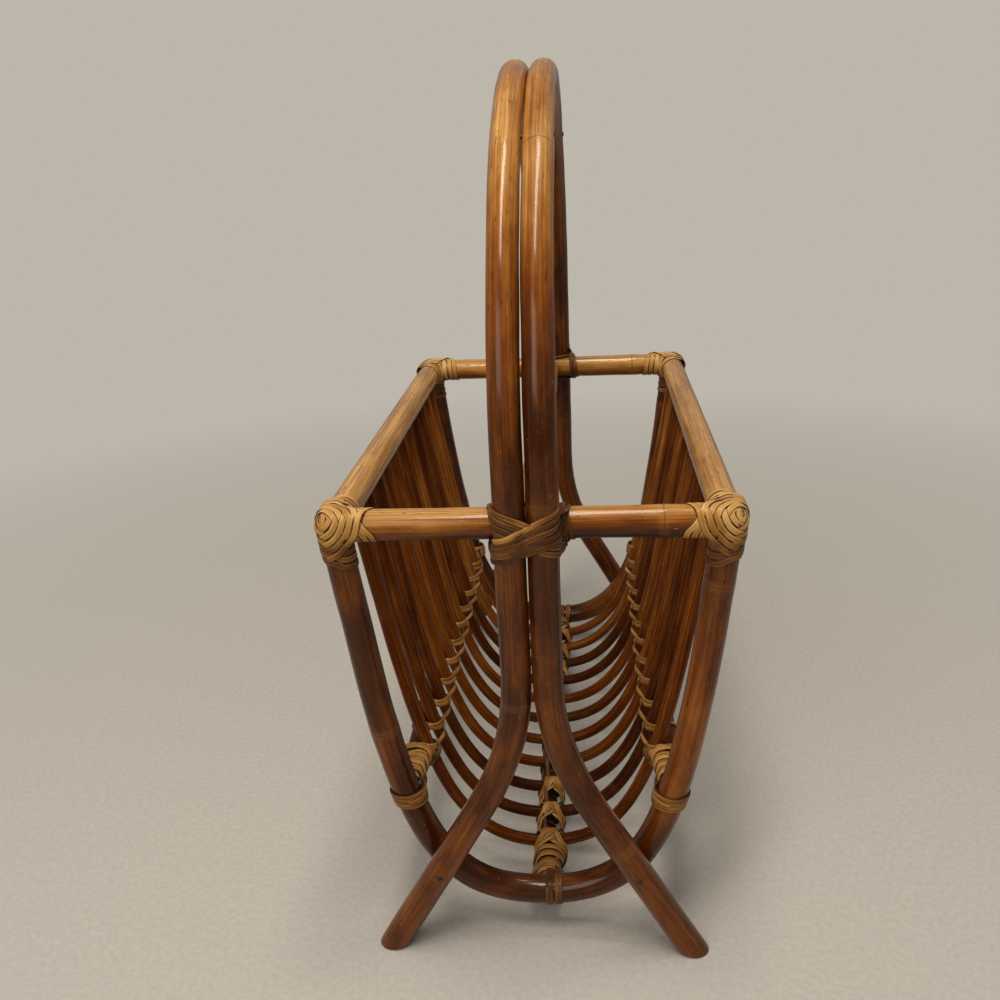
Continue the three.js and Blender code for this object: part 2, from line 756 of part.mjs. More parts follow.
// End lashing: turns round the end frame beside the stringer, over to the stringer on the inside of
// the basket, and turns round the stringer
function endLashingRoute({ name, side, centre, outward }, end) {
  const y = end * halfLength;
  const inside = outward.clone().negate();
  const inward = vector(0, -end, 0);
  const half = endFrameHalf(side, y);
  const spine = name === "bottom" ? frameSpine(half, END_FRAME_BOTTOM, 1) : frameSpine(half, centre.z, -1);
  const away = spine(0).along.negate();
  const frameCount = END_LASHING_FRAME_TURNS + END_LASHING_OVERTURN_SHARE;
  const frameTurns = turns({
    spine,
    from: stringerRadius + stripClearance + STRIP_PITCH * frameCount,
    pitch: -STRIP_PITCH,
    count: frameCount,
    radius: endFrameRadius,
    first: inside,
    toward: inward,
    steps: TURN_STEPS,
  });
  const stringerTurns = turns({
    spine: straightSpine(vector(centre.x, y, centre.z), inward),
    from: endFrameRadius + stripClearance,
    pitch: STRIP_PITCH,
    count: END_LASHING_STRINGER_TURNS,
    radius: stringerRadius,
    first: inside.clone().sub(away),
    toward: inside.clone().add(away),
    steps: SMALL_TURN_STEPS,
  });
  const middle = frameTurns[frameTurns.length - 1].at.clone().lerp(stringerTurns[0].at, 1 / 2);
  const facing = inside.clone().add(inward);
  middle.addScaledVector(facing, STRIP_THICKNESS / 2);
  return [...frameTurns, { at: middle, facing }, ...stringerTurns];
}

// Chain lashing: one strip along a stringer that crosses the inside of every rib on a slant and
// goes round the stringer between the ribs
function chainRoute({ centre, along, outward }) {
  const inside = outward.clone().negate();
  const ring = (stringerRadius + stripLift) / Math.cos(Math.PI / SMALL_TURN_STEPS);
  const top = stringerRadius + SEAT_GAP + RIB_DIAMETER + stripLift;
  const crossing = CHAIN_CROSSING_WIDTH / 2;
  const pass = ribRadius + STRIP_WIDTH / 2 + SEAT_GAP * 2;
  const route = [];
  for (let index = 0; index < RIB_COUNT; index += 1) {
    const y = ribPlace(index);
    const points = [
      [top, crossing, -pass, inside],
      [top, -crossing, pass, inside],
    ];
    if (index < RIB_COUNT - 1) {
      for (let step = 0; step <= CHAIN_SIDE_STEPS; step += 1) {
        const share = step / CHAIN_SIDE_STEPS;
        const angle = -Math.PI / 2 - share * Math.PI;
        const lead = CHAIN_SIDE_LEAD + share * (RIB_PITCH - CHAIN_SIDE_LEAD * 2);
        const radial = inside.clone().multiplyScalar(Math.cos(angle)).addScaledVector(along, Math.sin(angle));
        points.push([ring * Math.cos(angle), ring * Math.sin(angle), lead, radial]);
      }
    }
    for (const [up, sideways, ahead, facing] of points) {
      const at = vector(centre.x, y + ahead, centre.z);
      at.addScaledVector(inside, up).addScaledVector(along, sideways);
      route.push({ at, facing });
    }
  }
  return route;
}

// The least gap of a strip to itself, between points spread over its surface and at least a few
// widths apart along the strip
function leastGap(route) {
  const samples = [];
  let travelled = 0;
  for (let index = 0; index < route.length - 1; index += 1) {
    const [a, b] = [route[index], route[index + 1]];
    const along = b.at.clone().sub(a.at);
    for (const share of [0, 1 / 3, 2 / 3]) {
      const at = a.at.clone().addScaledVector(along, share);
      const outward = a.facing.clone().lerp(b.facing, share);
      outward.addScaledVector(along, -outward.dot(along) / along.lengthSq()).normalize();
      const aside = new THREE.Vector3().crossVectors(outward, along).normalize();
      for (const wide of [-1, 0, 1]) {
        for (const high of [-1, 1]) {
          const point = at.clone().addScaledVector(aside, (wide * STRIP_WIDTH) / 2);
          point.addScaledVector(outward, (high * STRIP_THICKNESS) / 2);
          samples.push({ point, travelled: travelled + along.length() * share });
        }
      }
    }
    travelled += along.length();
  }
  let least = Infinity;
  for (let first = 0; first < samples.length; first += 1) {
    for (let second = first + 1; second < samples.length; second += 1) {
      if (samples[second].travelled - samples[first].travelled > STRIP_WIDTH * NEIGHBOUR_WIDTHS) {
        least = Math.min(least, samples[first].point.distanceTo(samples[second].point));
      }
    }
  }
  return least;
}

function binding(name, route) {
  console.log(`${name}: least gap to itself ${leastGap(route).toFixed(2)} mm`);
  return piece(name, stripGeometry(route), "strip");
}

function bindings() {
  const pieces = [];
  const axes = stringerAxes();
  for (const { name: end, sign } of ENDS) {
    for (const { name: side, sign: across } of SIDES) {
      pieces.push(binding(`corner_binding_${end}_${side}`, cornerRoute(across, sign)));
    }
    pieces.push(binding(`hoop_lashing_${end}`, hoopLashingRoute(sign)));
    for (const axis of axes) {
      pieces.push(binding(`end_lashing_${end}_${axis.name}`, endLashingRoute(axis, sign)));
    }
  }
  for (const axis of axes) {
    pieces.push(binding(`chain_lashing_${axis.name}`, chainRoute(axis)));
  }
  return pieces;
}

const basket = new THREE.Group();
basket.add(...hoops(), ...endFrames(), ...crossbars(), ...rails(), centreRail());
basket.add(...ribs(), ...stringers(), ...bindings(), ...nails.map(nailMesh));

export default basket;
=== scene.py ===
"""Bent rattan magazine basket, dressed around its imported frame.

Each cane is a straight round pole first. It gets its growth rings and small unevenness, and is
then bent along its guide line. The lashings are wound turn by turn out of flat strip, which lies
on the canes and on the turns under it. Lengths are in metres, +Z up, X across and Y along the
basket, and the front end at -Y.
"""

import logging
import math
import random
from dataclasses import dataclass, field
from enum import Enum

import bpy
import numpy as np
from mathutils import Matrix, Vector

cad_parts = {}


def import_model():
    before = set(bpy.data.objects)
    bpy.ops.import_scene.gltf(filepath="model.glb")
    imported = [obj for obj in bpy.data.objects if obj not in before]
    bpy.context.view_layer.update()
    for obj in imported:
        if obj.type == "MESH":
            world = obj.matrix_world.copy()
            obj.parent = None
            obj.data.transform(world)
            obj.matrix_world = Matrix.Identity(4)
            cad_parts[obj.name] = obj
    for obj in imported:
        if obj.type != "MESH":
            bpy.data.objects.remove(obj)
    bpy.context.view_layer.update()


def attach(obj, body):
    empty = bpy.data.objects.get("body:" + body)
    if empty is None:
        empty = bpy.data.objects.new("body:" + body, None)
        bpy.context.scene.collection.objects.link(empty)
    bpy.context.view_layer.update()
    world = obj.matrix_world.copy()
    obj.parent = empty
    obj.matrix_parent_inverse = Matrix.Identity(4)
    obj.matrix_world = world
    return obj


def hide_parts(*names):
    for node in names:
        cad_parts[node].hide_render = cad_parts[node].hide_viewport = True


MM = 0.001
BODY = "root"
SIGNS = (-1, 1)
LOG = logging.getLogger("magazine_basket")


class End(Enum):
    """The two ends of the basket, with the sign of their Y."""

    FRONT = -1
    REAR = 1


class Side(Enum):
    """The two long sides of the basket, with the sign of their X."""

    LEFT = -1
    RIGHT = 1


class Slot(Enum):
    """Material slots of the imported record."""

    HOOP = "hoop_cane"
    RIM = "rim_cane"
    FRAME = "frame_cane"
    RIB = "rib_cane"
    STRIP = "cane_strip"
    STEEL = "nail_steel"


class Seed(Enum):
    """First numbers for the chance in each kind of piece."""

    HOOP = 1
    END_FRAME = 5
    RIB_TONES = 7
    CROSSBAR = 8
    RAIL = 12
    RIB = 20
    STRINGER = 60
    CORNER = 70
    HOOP_LASHING = 90
    CHAIN = 100
    END_LASHING = 130


Piece = bpy.types.Object
Material = bpy.types.Material
Tree = bpy.types.NodeTree
Node = bpy.types.Node
Socket = bpy.types.NodeSocket
Array = np.ndarray
Way = list[Array]
Canes = list[tuple[Array, float]]
Colour = tuple[float, float, float]
Pair = tuple[float, float]
Pairs = tuple[Pair, ...]
Row = tuple[float, ...]
Stops = tuple[tuple[float, Colour], ...]


def deselect_all() -> None:
    """Leaves object mode and clears the selection."""
    if bpy.context.object and bpy.context.object.mode != "OBJECT":
        bpy.ops.object.mode_set(mode="OBJECT")
    bpy.ops.object.select_all(action="DESELECT")


def make_active(piece: Piece) -> None:
    """Selects one piece alone and makes it active.

    Args:
        piece: The piece.
    """
    deselect_all()
    piece.select_set(True)
    bpy.context.view_layer.objects.active = piece


def apply_modifiers(piece: Piece) -> None:
    """Applies every modifier of a piece in its order.

    Args:
        piece: The piece.
    """
    make_active(piece)
    for modifier in list(piece.modifiers):
        bpy.ops.object.modifier_apply(modifier=modifier.name)


def positions(piece: Piece) -> Array:
    """The places of a mesh's points, as an array of rows.

    Args:
        piece: The object whose mesh is read.

    Returns:
        An array with one row a point.
    """
    flat = np.empty(len(piece.data.vertices) * 3)
    piece.data.vertices.foreach_get("co", flat)
    return flat.reshape(-1, 3)


def set_positions(piece: Piece, places: Array) -> None:
    """Moves a mesh's points to new places."""
    piece.data.vertices.foreach_set("co", places.ravel())
    piece.data.update()


def store_values(piece: Piece, name: str, values: Array) -> None:
    """Keeps one number, or one vector, for each point of a mesh.

    Args:
        piece: The object whose mesh is marked.
        name: The attribute's name, which the materials read.
        values: One number or one row of three numbers a point.
    """
    kind = "FLOAT" if values.ndim == 1 else "FLOAT_VECTOR"
    attribute = piece.data.attributes.new(name, kind, "POINT")
    field_name = "value" if values.ndim == 1 else "vector"
    attribute.data.foreach_set(field_name, values.astype(np.float32).ravel())


def install(piece: Piece, material: Material, slot: Slot, *nodes: str) -> None:
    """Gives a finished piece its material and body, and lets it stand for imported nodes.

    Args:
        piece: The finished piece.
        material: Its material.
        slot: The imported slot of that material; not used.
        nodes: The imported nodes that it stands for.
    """
    piece.data.materials.clear()
    piece.data.materials.append(material)
    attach(piece, BODY)
    if nodes:
        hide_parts(*nodes)
    LOG.info("%s: %d faces", piece.name, len(piece.data.polygons))


HANDLE_SHARE = 1 / 3
GUIDE_STEPS = 64


@dataclass(frozen=True)
class Knot:
    """A point of a guide line with the two handles that shape it."""

    at: Vector
    back: Vector
    ahead: Vector


def line_knots(*points: Vector) -> list[Knot]:
    """Knots of a line that is straight from point to point.

    Args:
        points: The points in their order.

    Returns:
        One knot a point.
    """
    knots = []
    for index, point in enumerate(points):
        before = points[max(index - 1, 0)]
        after = points[min(index + 1, len(points) - 1)]
        knots.append(Knot(point, point.lerp(before, HANDLE_SHARE), point.lerp(after, HANDLE_SHARE)))
    return knots


def sample_knots(knots: list[Knot], steps: int) -> Array:
    """Points along a guide line.

    Args:
        knots: The guide line.
        steps: How many steps each stretch between two knots has.

    Returns:
        An array with one row a point.
    """
    rows = []
    shares = np.linspace(0, 1, steps + 1)[:, None]
    for first, second in zip(knots, knots[1:]):
        a, b, c, d = (np.array(v) for v in (first.at, first.ahead, second.back, second.at))
        curve = (
            a * (1 - shares) ** 3
            + 3 * b * shares * (1 - shares) ** 2
            + 3 * c * shares**2 * (1 - shares)
            + d * shares**3
        )
        rows.append(curve if not rows else curve[1:])
    return np.vstack(rows)


def polyline_length(points: Array) -> float:
    """The length of a line through points."""
    return float(np.linalg.norm(np.diff(points, axis=0), axis=1).sum())


@dataclass
class CaneShape:
    """A cane before it is bent.

    Attributes:
        radius: Half its thickness.
        tones: How golden the skin is, as (share of the length, tone) pairs.
        rings: Where its growth rings sit, as distances along it.
        sides: Points round a section.
        ring_pitch: Distance between sections.
        wander: How far it strays from its guide line.
        seed: Number of its own for its unevenness.
        painted_top_light: How much more golden its upper side is than its middle, and browner its
            underside, as painted light and shade from above.
        growth: How thick it is, as (share of the length, share of the radius) pairs.
    """

    radius: float
    tones: Pairs
    rings: Row = ()
    sides: int = 28
    ring_pitch: float = 4 * MM
    wander: float = 0.25 * MM
    seed: int = 0
    painted_top_light: float = 0.0
    growth: Pairs = ((0, 1), (1, 1))


SWELL_SHARE = 0.03
SWELL_REACH = 7 * MM
UNEVEN_SHARE = 0.012
UNEVEN_WAVE = 90 * MM
WANDER_WAVES = (130 * MM, 150 * MM)
NOISE_ORDERS = (1, 2, 3)
NOISE_SPREAD = (0.8, 1.25)
NOISE_SUM = 1.84
GRAIN_STRIDE = 3.1
FAR_RING = -1.0
CREASE = math.radians(40)
FOOT_STEPS = (1.0, 0.6, 0.3, 0.1)
FOOT_SEARCH = 30 * MM
DOME_ANGLE = math.radians(82)
SADDLE_SIDES = 48


def smooth_noise(places: Array, wave: float, seed: int) -> Array:
    """A smooth uneven line between -1 and 1.

    Args:
        places: Distances along a cane.
        wave: Mean distance between a high and the next.
        seed: Number of this line.

    Returns:
        One value for each place.
    """
    draw = random.Random(seed)
    total = np.zeros(len(places))
    for order in NOISE_ORDERS:
        phase = draw.uniform(0, math.tau)
        stretch = draw.uniform(*NOISE_SPREAD) * order
        total += np.sin(places * math.tau * stretch / wave + phase) / order
    return total / NOISE_SUM


def straight_pole(name: str, radius: float, length: float, sides: int, cuts: int) -> Piece:
    """A round pole along +Z from the origin, with even sections along it.

    Args:
        name: The object's name.
        radius: Half its thickness.
        length: Its length.
        sides: Points round a section.
        cuts: Sections between its two ends.

    Returns:
        The new object.
    """
    deselect_all()
    bpy.ops.mesh.primitive_cylinder_add(
        vertices=sides, radius=radius, depth=length, end_fill_type="NGON", location=(0, 0, length / 2)
    )
    pole = bpy.context.active_object
    pole.name = name
    bpy.ops.object.transform_apply(location=True)
    heights = positions(pole)[:, 2]
    bpy.context.tool_settings.mesh_select_mode = (False, True, False)
    bpy.ops.object.mode_set(mode="EDIT")
    bpy.ops.mesh.select_all(action="DESELECT")
    bpy.ops.object.mode_set(mode="OBJECT")
    for edge in pole.data.edges:
        low, high = (heights[index] for index in edge.vertices)
        edge.select = abs(high - low) > length / 2
    bpy.ops.object.mode_set(mode="EDIT")
    bpy.ops.mesh.subdivide(number_cuts=cuts)
    bpy.ops.object.mode_set(mode="OBJECT")
    return pole


def make_uneven(pole: Piece, shape: CaneShape) -> None:
    """Swells a pole at its growth rings and lets its thickness and line stray a little.

    Args:
        pole: The straight pole.
        shape: Its rings, its growth and how far it strays.
    """
    places = positions(pole)
    along = places[:, 2]
    swell = 1 + UNEVEN_SHARE * smooth_noise(along, UNEVEN_WAVE, shape.seed)
    swell *= np.interp(along / along.max(), *zip(*shape.growth))
    for ring in shape.rings:
        swell += SWELL_SHARE * np.exp(-(((along - ring) / SWELL_REACH) ** 2))
    places[:, :2] *= swell[:, None]
    for axis, wave in enumerate(WANDER_WAVES):
        places[:, axis] += shape.wander * smooth_noise(along, wave, shape.seed + 1 + axis)
    set_positions(pole, places)


def mark_grain(pole: Piece, shape: CaneShape, length: float) -> None:
    """Keeps each point's place in the straight cane, its tone and its way to the next ring.

    Args:
        pole: The straight pole.
        shape: Its tones and rings.
        length: Its length.
    """
    places = positions(pole)
    along = places[:, 2].copy()
    grain = places.copy()
    grain[:, 2] += GRAIN_STRIDE * shape.seed
    store_values(pole, "grain", grain)
    shares, tones = zip(*shape.tones)
    store_values(pole, "tone", np.interp(along / length, shares, tones))
    rings = np.array(shape.rings or (FAR_RING,))
    nearest = np.argmin(np.abs(along[:, None] - rings), axis=1)
    # The sign turns from ring to ring, so that the value is nought at the rings alone.
    store_values(pole, "from_ring", (along - rings[nearest]) * (1 - 2 * (nearest % 2)))


def bend(pole: Piece, knots: list[Knot]) -> None:
    """Bends a straight pole along a guide line.

    Args:
        pole: The straight pole.
        knots: The guide line.
    """
    deselect_all()
    bpy.ops.curve.primitive_bezier_curve_add()
    guide = bpy.context.active_object
    guide.data.resolution_u = GUIDE_STEPS
    guide.data.twist_mode = "MINIMUM"
    points = guide.data.splines[0].bezier_points
    points.add(len(knots) - len(points))
    for point, knot in zip(points, knots):
        point.handle_left_type = point.handle_right_type = "FREE"
        point.co, point.handle_left, point.handle_right = knot.at, knot.back, knot.ahead
    modifier = pole.modifiers.new("bend", "CURVE")
    modifier.object = guide
    modifier.deform_axis = "POS_Z"
    apply_modifiers(pole)
    bpy.data.objects.remove(guide, do_unlink=True)


def paint_light_from_above(cane: Piece, amount: float) -> None:
    """Paints light from above into the tone: the cane's upper side more golden and its underside browner.

    Args:
        cane: The bent cane.
        amount: How much more golden the top is than the middle, as painted light.
    """
    count = len(cane.data.vertices)
    tones, normals = np.empty(count), np.empty(count * 3)
    cane.data.attributes["tone"].data.foreach_get("value", tones)
    cane.data.vertex_normals.foreach_get("vector", normals)
    tones += amount * normals.reshape(-1, 3)[:, 2]
    cane.data.attributes["tone"].data.foreach_set("value", tones.astype(np.float32))


def build_cane(name: str, knots: list[Knot], shape: CaneShape) -> Piece:
    """A cane bent along a guide line, smooth and marked with its grain.

    Args:
        name: The object's name.
        knots: The guide line.
        shape: The cane before it is bent.

    Returns:
        The new object.
    """
    length = polyline_length(sample_knots(knots, GUIDE_STEPS))
    cuts = max(1, round(length / shape.ring_pitch) - 1)
    pole = straight_pole(name, shape.radius, length, shape.sides, cuts)
    make_uneven(pole, shape)
    mark_grain(pole, shape, length)
    bend(pole, knots)
    # Painted light and shade: tops made more golden, undersides browner.
    paint_light_from_above(pole, shape.painted_top_light)
    make_active(pole)
    bpy.ops.object.shade_smooth_by_angle(angle=CREASE)
    return pole


def rounded_feet(cane: Piece, axes: list[tuple[Vector, Vector]], edge: float) -> None:
    """Cuts a cane off flat at the floor and rounds the edges of the cut.

    Args:
        cane: The cane, whose ends reach below the floor.
        axes: Where the middle line of each leg meets the floor, and its way up.
        edge: Radius of the rounded edge.
    """
    make_active(cane)
    bpy.ops.object.mode_set(mode="EDIT")
    for share in FOOT_STEPS:
        bpy.ops.mesh.select_all(action="SELECT")
        bpy.ops.mesh.bisect(plane_co=(0, 0, edge * share), plane_no=(0, 0, 1))
    bpy.ops.mesh.select_all(action="SELECT")
    bpy.ops.mesh.bisect(plane_co=(0, 0, 0), plane_no=(0, 0, 1), use_fill=True, clear_inner=True)
    bpy.ops.object.mode_set(mode="OBJECT")
    places = positions(cane)
    for foot, way in axes:
        close = np.abs(places[:, :2] - foot[:2]).max(axis=1) < FOOT_SEARCH
        low = (places[:, 2] < edge) & close
        heights = np.clip(places[low, 2], 0, edge)
        middles = np.array(foot)[:2] + np.outer(heights / way.z, np.array(way)[:2])
        away = places[low, :2] - middles
        inset = edge - np.sqrt(np.maximum(edge**2 - (edge - heights) ** 2, 0))
        reach = np.maximum(np.linalg.norm(away, axis=1), edge)
        places[low, :2] = middles + away * (1 - inset / reach)[:, None]
    set_positions(cane, places)


def domed_ends(cane: Piece, reach: float, radius: float, height: float) -> None:
    """Rounds the two ends of a crossbar, which the corner bindings cover.

    Args:
        cane: The crossbar, which lies along X.
        reach: How far its ends are from the middle.
        radius: Half its thickness.
        height: Height of its middle line.
    """
    places = positions(cane)
    middle = places[:, 1].mean()
    share = np.clip((np.abs(places[:, 0]) - (reach - radius)) / radius, 0, 1)
    angle = share * DOME_ANGLE
    domed = np.sign(places[:, 0]) * (reach - radius + radius * np.sin(angle))
    places[:, 0] = np.where(share > 0, domed, places[:, 0])
    places[:, 1] = middle + (places[:, 1] - middle) * np.cos(angle)
    places[:, 2] = height + (places[:, 2] - height) * np.cos(angle)
    set_positions(cane, places)


def cut_with(piece: Piece, radius: float, start: Vector, end: Vector) -> None:
    """Takes a round bar out of a piece, as where it is saddled to another cane.

    Args:
        piece: The piece that is cut.
        radius: Half the bar's thickness.
        start: Where the bar starts.
        end: Where the bar ends.
    """
    deselect_all()
    length = (end - start).length
    bpy.ops.mesh.primitive_cylinder_add(vertices=SADDLE_SIDES, radius=radius, depth=length)
    bar = bpy.context.active_object
    turn = (end - start).to_track_quat("Z", "Y").to_matrix().to_4x4()
    bar.data.transform(Matrix.Translation((start + end) / 2) @ turn)
    modifier = piece.modifiers.new("saddle", "BOOLEAN")
    modifier.object = bar
    modifier.solver = "EXACT"
    apply_modifiers(piece)
    bpy.data.objects.remove(bar, do_unlink=True)


def link(tree: Tree, source: Socket, target: Socket) -> None:
    """Joins two sockets."""
    tree.links.new(source, target)


def add_node(tree: Tree, kind: str, **settings: object) -> Node:
    """A new shader node with some of its settings given.

    Args:
        tree: The tree that gets the node.
        kind: The node's type.
        settings: Its settings by their names.

    Returns:
        The new node.
    """
    node = tree.nodes.new(kind)
    for name, value in settings.items():
        setattr(node, name, value)
    return node


def set_inputs(node: Node, values: dict[str, object]) -> None:
    """Gives some inputs of a node their values, by name."""
    for name, value in values.items():
        node.inputs[name].default_value = value


def read_mark(tree: Tree, name: str, output: str = "Fac") -> Socket:
    """What a mesh keeps for its points under a name."""
    return add_node(tree, "ShaderNodeAttribute", attribute_name=name).outputs[output]


def arithmetic(
    tree: Tree,
    operation: str,
    first: Socket | float,
    second: Socket | float,
    clamp: bool = False,
) -> Socket:
    """A math node on two values or sockets, and its result.

    Args:
        tree: The tree that gets the node.
        operation: What it does.
        first: Its first value or socket.
        second: Its second value or socket.
        clamp: Whether the result is kept between 0 and 1.

    Returns:
        The result.
    """
    node = add_node(tree, "ShaderNodeMath", operation=operation, use_clamp=clamp)
    for socket, value in zip(node.inputs, (first, second)):
        if isinstance(value, Socket):
            link(tree, value, socket)
        else:
            socket.default_value = value
    return node.outputs[0]


def ramp(tree: Tree, source: Socket, stops: Stops) -> Socket:
    """A colour ramp with given stops, and its colour.

    Args:
        tree: The tree that gets the node.
        source: The value that picks the colour.
        stops: Where each colour sits, and the colour.

    Returns:
        The colour.
    """
    node = add_node(tree, "ShaderNodeValToRGB")
    elements = node.color_ramp.elements
    while len(elements) < len(stops):
        elements.new(0.5)
    for element, (place, colour) in zip(elements, stops):
        element.position = place
        element.color = (*colour, 1)
    link(tree, source, node.inputs["Fac"])
    return node.outputs["Color"]


def remap(tree: Tree, source: Socket, span: Pair, onto: Pair = (0, 1)) -> Socket:
    """A value taken from one span onto another, kept inside it.

    Args:
        tree: The tree that gets the node.
        source: The value.
        span: Where the value starts and ends.
        onto: What those two become.

    Returns:
        The new value.
    """
    node = add_node(tree, "ShaderNodeMapRange", clamp=True)
    link(tree, source, node.inputs["Value"])
    set_inputs(node, dict(zip(("From Min", "From Max", "To Min", "To Max"), (*span, *onto))))
    return node.outputs["Result"]


def mix_colour(
    tree: Tree,
    share: Socket | float,
    first: Socket | tuple,
    second: Socket | tuple,
    blend: str = "MIX",
) -> Socket:
    """Two colours mixed by a share, and the mixed colour.

    Args:
        tree: The tree that gets the node.
        share: How much of the second colour there is.
        first: The first colour.
        second: The second colour.
        blend: How the two are mixed.

    Returns:
        The mixed colour.
    """
    node = add_node(tree, "ShaderNodeMix", data_type="RGBA", blend_type=blend)
    for socket, value in ((node.inputs[0], share), (node.inputs[6], first), (node.inputs[7], second)):
        if isinstance(value, Socket):
            link(tree, value, socket)
        elif isinstance(value, tuple):
            socket.default_value = (*value, 1)
        else:
            socket.default_value = value
    return node.outputs[2]


def overlay(tree: Tree, base: Socket, mask: Socket, strength: float, colour: Socket | tuple) -> Socket:
    """A base colour with another laid over it where a mask shows."""
    return mix_colour(tree, arithmetic(tree, "MULTIPLY", mask, strength), base, colour)


def srgb(red: int, green: int, blue: int) -> tuple[float, float, float]:
    """A colour written in 0 to 255, as the linear values that nodes take."""
    shares = (value / 255 for value in (red, green, blue))
    return tuple(v / 12.92 if v <= 0.04045 else ((v + 0.055) / 1.055) ** 2.4 for v in shares)


# For each mask of the skin: how many noise cells a streak's width and length have, the detail and
# roughness of the noise, and the span of the noise that becomes 0 to 1.
SKIN_MASKS = {
    "Streaks": ((0.45, 0.5), (3, 0.55), (0.3, 0.7)),
    "Lines": ((1.4, 1.2), (2, 0.6), (0.4, 0.62)),
    "Flecks": ((0.9, 9), (2, 0.5), (0.64, 0.72)),
    "Scuffs": ((1.3, 22), (1, 0.5), (0.74, 0.8)),
    "Blotches": ((0.06, 1.4), (3, 0.6), (0.35, 0.68)),
}
STREAK_SIZES = {"Streak Width": 1 * MM, "Streak Length": 60 * MM}


def grain_group() -> Tree:
    """The shared effect of cane skin: long streaks, fine lines, flecks and blotches.

    Returns:
        A node group that reads the place in the straight cane and puts out five masks.
    """
    group = bpy.data.node_groups.new("cane_grain", "ShaderNodeTree")
    group.interface.new_socket("Grain", in_out="INPUT", socket_type="NodeSocketVector")
    for name, size in STREAK_SIZES.items():
        socket = group.interface.new_socket(name, in_out="INPUT", socket_type="NodeSocketFloat")
        socket.default_value = size
    for name in SKIN_MASKS:
        group.interface.new_socket(name, in_out="OUTPUT", socket_type="NodeSocketFloat")
    inputs = group.nodes.new("NodeGroupInput")
    outputs = group.nodes.new("NodeGroupOutput")
    across = arithmetic(group, "DIVIDE", 1.0, inputs.outputs["Streak Width"])
    along = arithmetic(group, "DIVIDE", 1.0, inputs.outputs["Streak Length"])

    def stretched(wide: float, long: float) -> Socket:
        """The place in the cane, counted in streak widths and lengths.

        Args:
            wide: Cells of noise that a streak's width has.
            long: Cells of noise that a streak's length has.

        Returns:
            The stretched place.
        """
        scale = add_node(group, "ShaderNodeCombineXYZ")
        wide_share = arithmetic(group, "MULTIPLY", across, wide)
        link(group, wide_share, scale.inputs["X"])
        link(group, wide_share, scale.inputs["Y"])
        link(group, arithmetic(group, "MULTIPLY", along, long), scale.inputs["Z"])
        product = add_node(group, "ShaderNodeVectorMath", operation="MULTIPLY")
        link(group, inputs.outputs["Grain"], product.inputs[0])
        link(group, scale.outputs["Vector"], product.inputs[1])
        return product.outputs["Vector"]

    def noise(vector: Socket, detail: float, roughness: float) -> Socket:
        """Plain noise at a scale of one.

        Args:
            vector: The place where it is read.
            detail: How many finer layers it has.
            roughness: How strong those are.

        Returns:
            The noise.
        """
        node = add_node(group, "ShaderNodeTexNoise")
        set_inputs(node, {"Scale": 1, "Detail": detail, "Roughness": roughness})
        link(group, vector, node.inputs["Vector"])
        return node.outputs["Fac"]

    for name, (stretch, texture, span) in SKIN_MASKS.items():
        link(group, remap(group, noise(stretched(*stretch), *texture), span), outputs.inputs[name])
    return group


WARM_SHEEN = srgb(255, 214, 160)
ROUGHNESS_SPREAD = (-0.06, 0.1)
CANE_TONES = (
    (0.0, srgb(44, 22, 8)),
    (0.25, srgb(84, 40, 11)),
    (0.5, srgb(148, 82, 22)),
    (0.75, srgb(192, 130, 52)),
    (1.0, srgb(222, 170, 96)),
)
STRIP_TONES = (
    (0.0, srgb(66, 38, 18)),
    (0.3, srgb(116, 70, 32)),
    (0.6, srgb(180, 124, 56)),
    (0.85, srgb(212, 162, 84)),
    (1.0, srgb(230, 188, 118)),
)


@dataclass(frozen=True, kw_only=True)
class SkinFinish:
    """What the skin of a cane and that of a flat strip share."""

    name: str
    streak_width: float
    streak_length: float
    roughness: float
    shine: float
    varnish: float
    varnish_roughness: float
    blotching: float
    relief: float
    relief_depth: float

    def begin(self, grain: Tree, stops: Stops) -> tuple[Material, Node, Socket, Socket]:
        """Starts the material with the shared grain group and the colours of its tones.

        Args:
            grain: The shared grain group.
            stops: The colours from the darkest tone to the most golden one.

        Returns:
            The material, the node of the grain group, the tone and its colour.
        """
        material = bpy.data.materials.new(self.name)
        material.use_nodes = True
        tree = material.node_tree
        skin = add_node(tree, "ShaderNodeGroup", node_tree=grain)
        set_inputs(skin, dict(zip(STREAK_SIZES, (self.streak_width, self.streak_length))))
        link(tree, read_mark(tree, "grain", "Vector"), skin.inputs["Grain"])
        patches = arithmetic(tree, "SUBTRACT", skin.outputs["Blotches"], 0.5)
        blotch = arithmetic(tree, "MULTIPLY", patches, self.blotching)
        tone = arithmetic(tree, "ADD", read_mark(tree, "tone"), blotch, clamp=True)
        return material, skin, tone, ramp(tree, tone, stops)

    def end(self, skin: Node, colour: Socket, height: Socket, sunk: bool = False) -> None:
        """Gives the shader its colour, sheen and relief.

        Args:
            skin: The node of the grain group.
            colour: The colour of the skin.
            height: The relief.
            sunk: Whether the relief goes down where its value is high.
        """
        tree = skin.id_data
        shader = tree.nodes["Principled BSDF"]
        link(tree, colour, shader.inputs["Base Color"])
        span = tuple(self.roughness + part for part in ROUGHNESS_SPREAD)
        link(tree, remap(tree, skin.outputs["Blotches"], (0, 1), span), shader.inputs["Roughness"])
        sheen = {"Specular IOR Level": self.shine, "Specular Tint": (*WARM_SHEEN, 1)}
        coat = {"Coat Weight": self.varnish, "Coat Roughness": self.varnish_roughness}
        set_inputs(shader, sheen | coat)
        bump = add_node(tree, "ShaderNodeBump", invert=sunk)
        set_inputs(bump, {"Strength": self.relief, "Distance": self.relief_depth})
        link(tree, height, bump.inputs["Height"])
        link(tree, bump.outputs["Normal"], shader.inputs["Normal"])


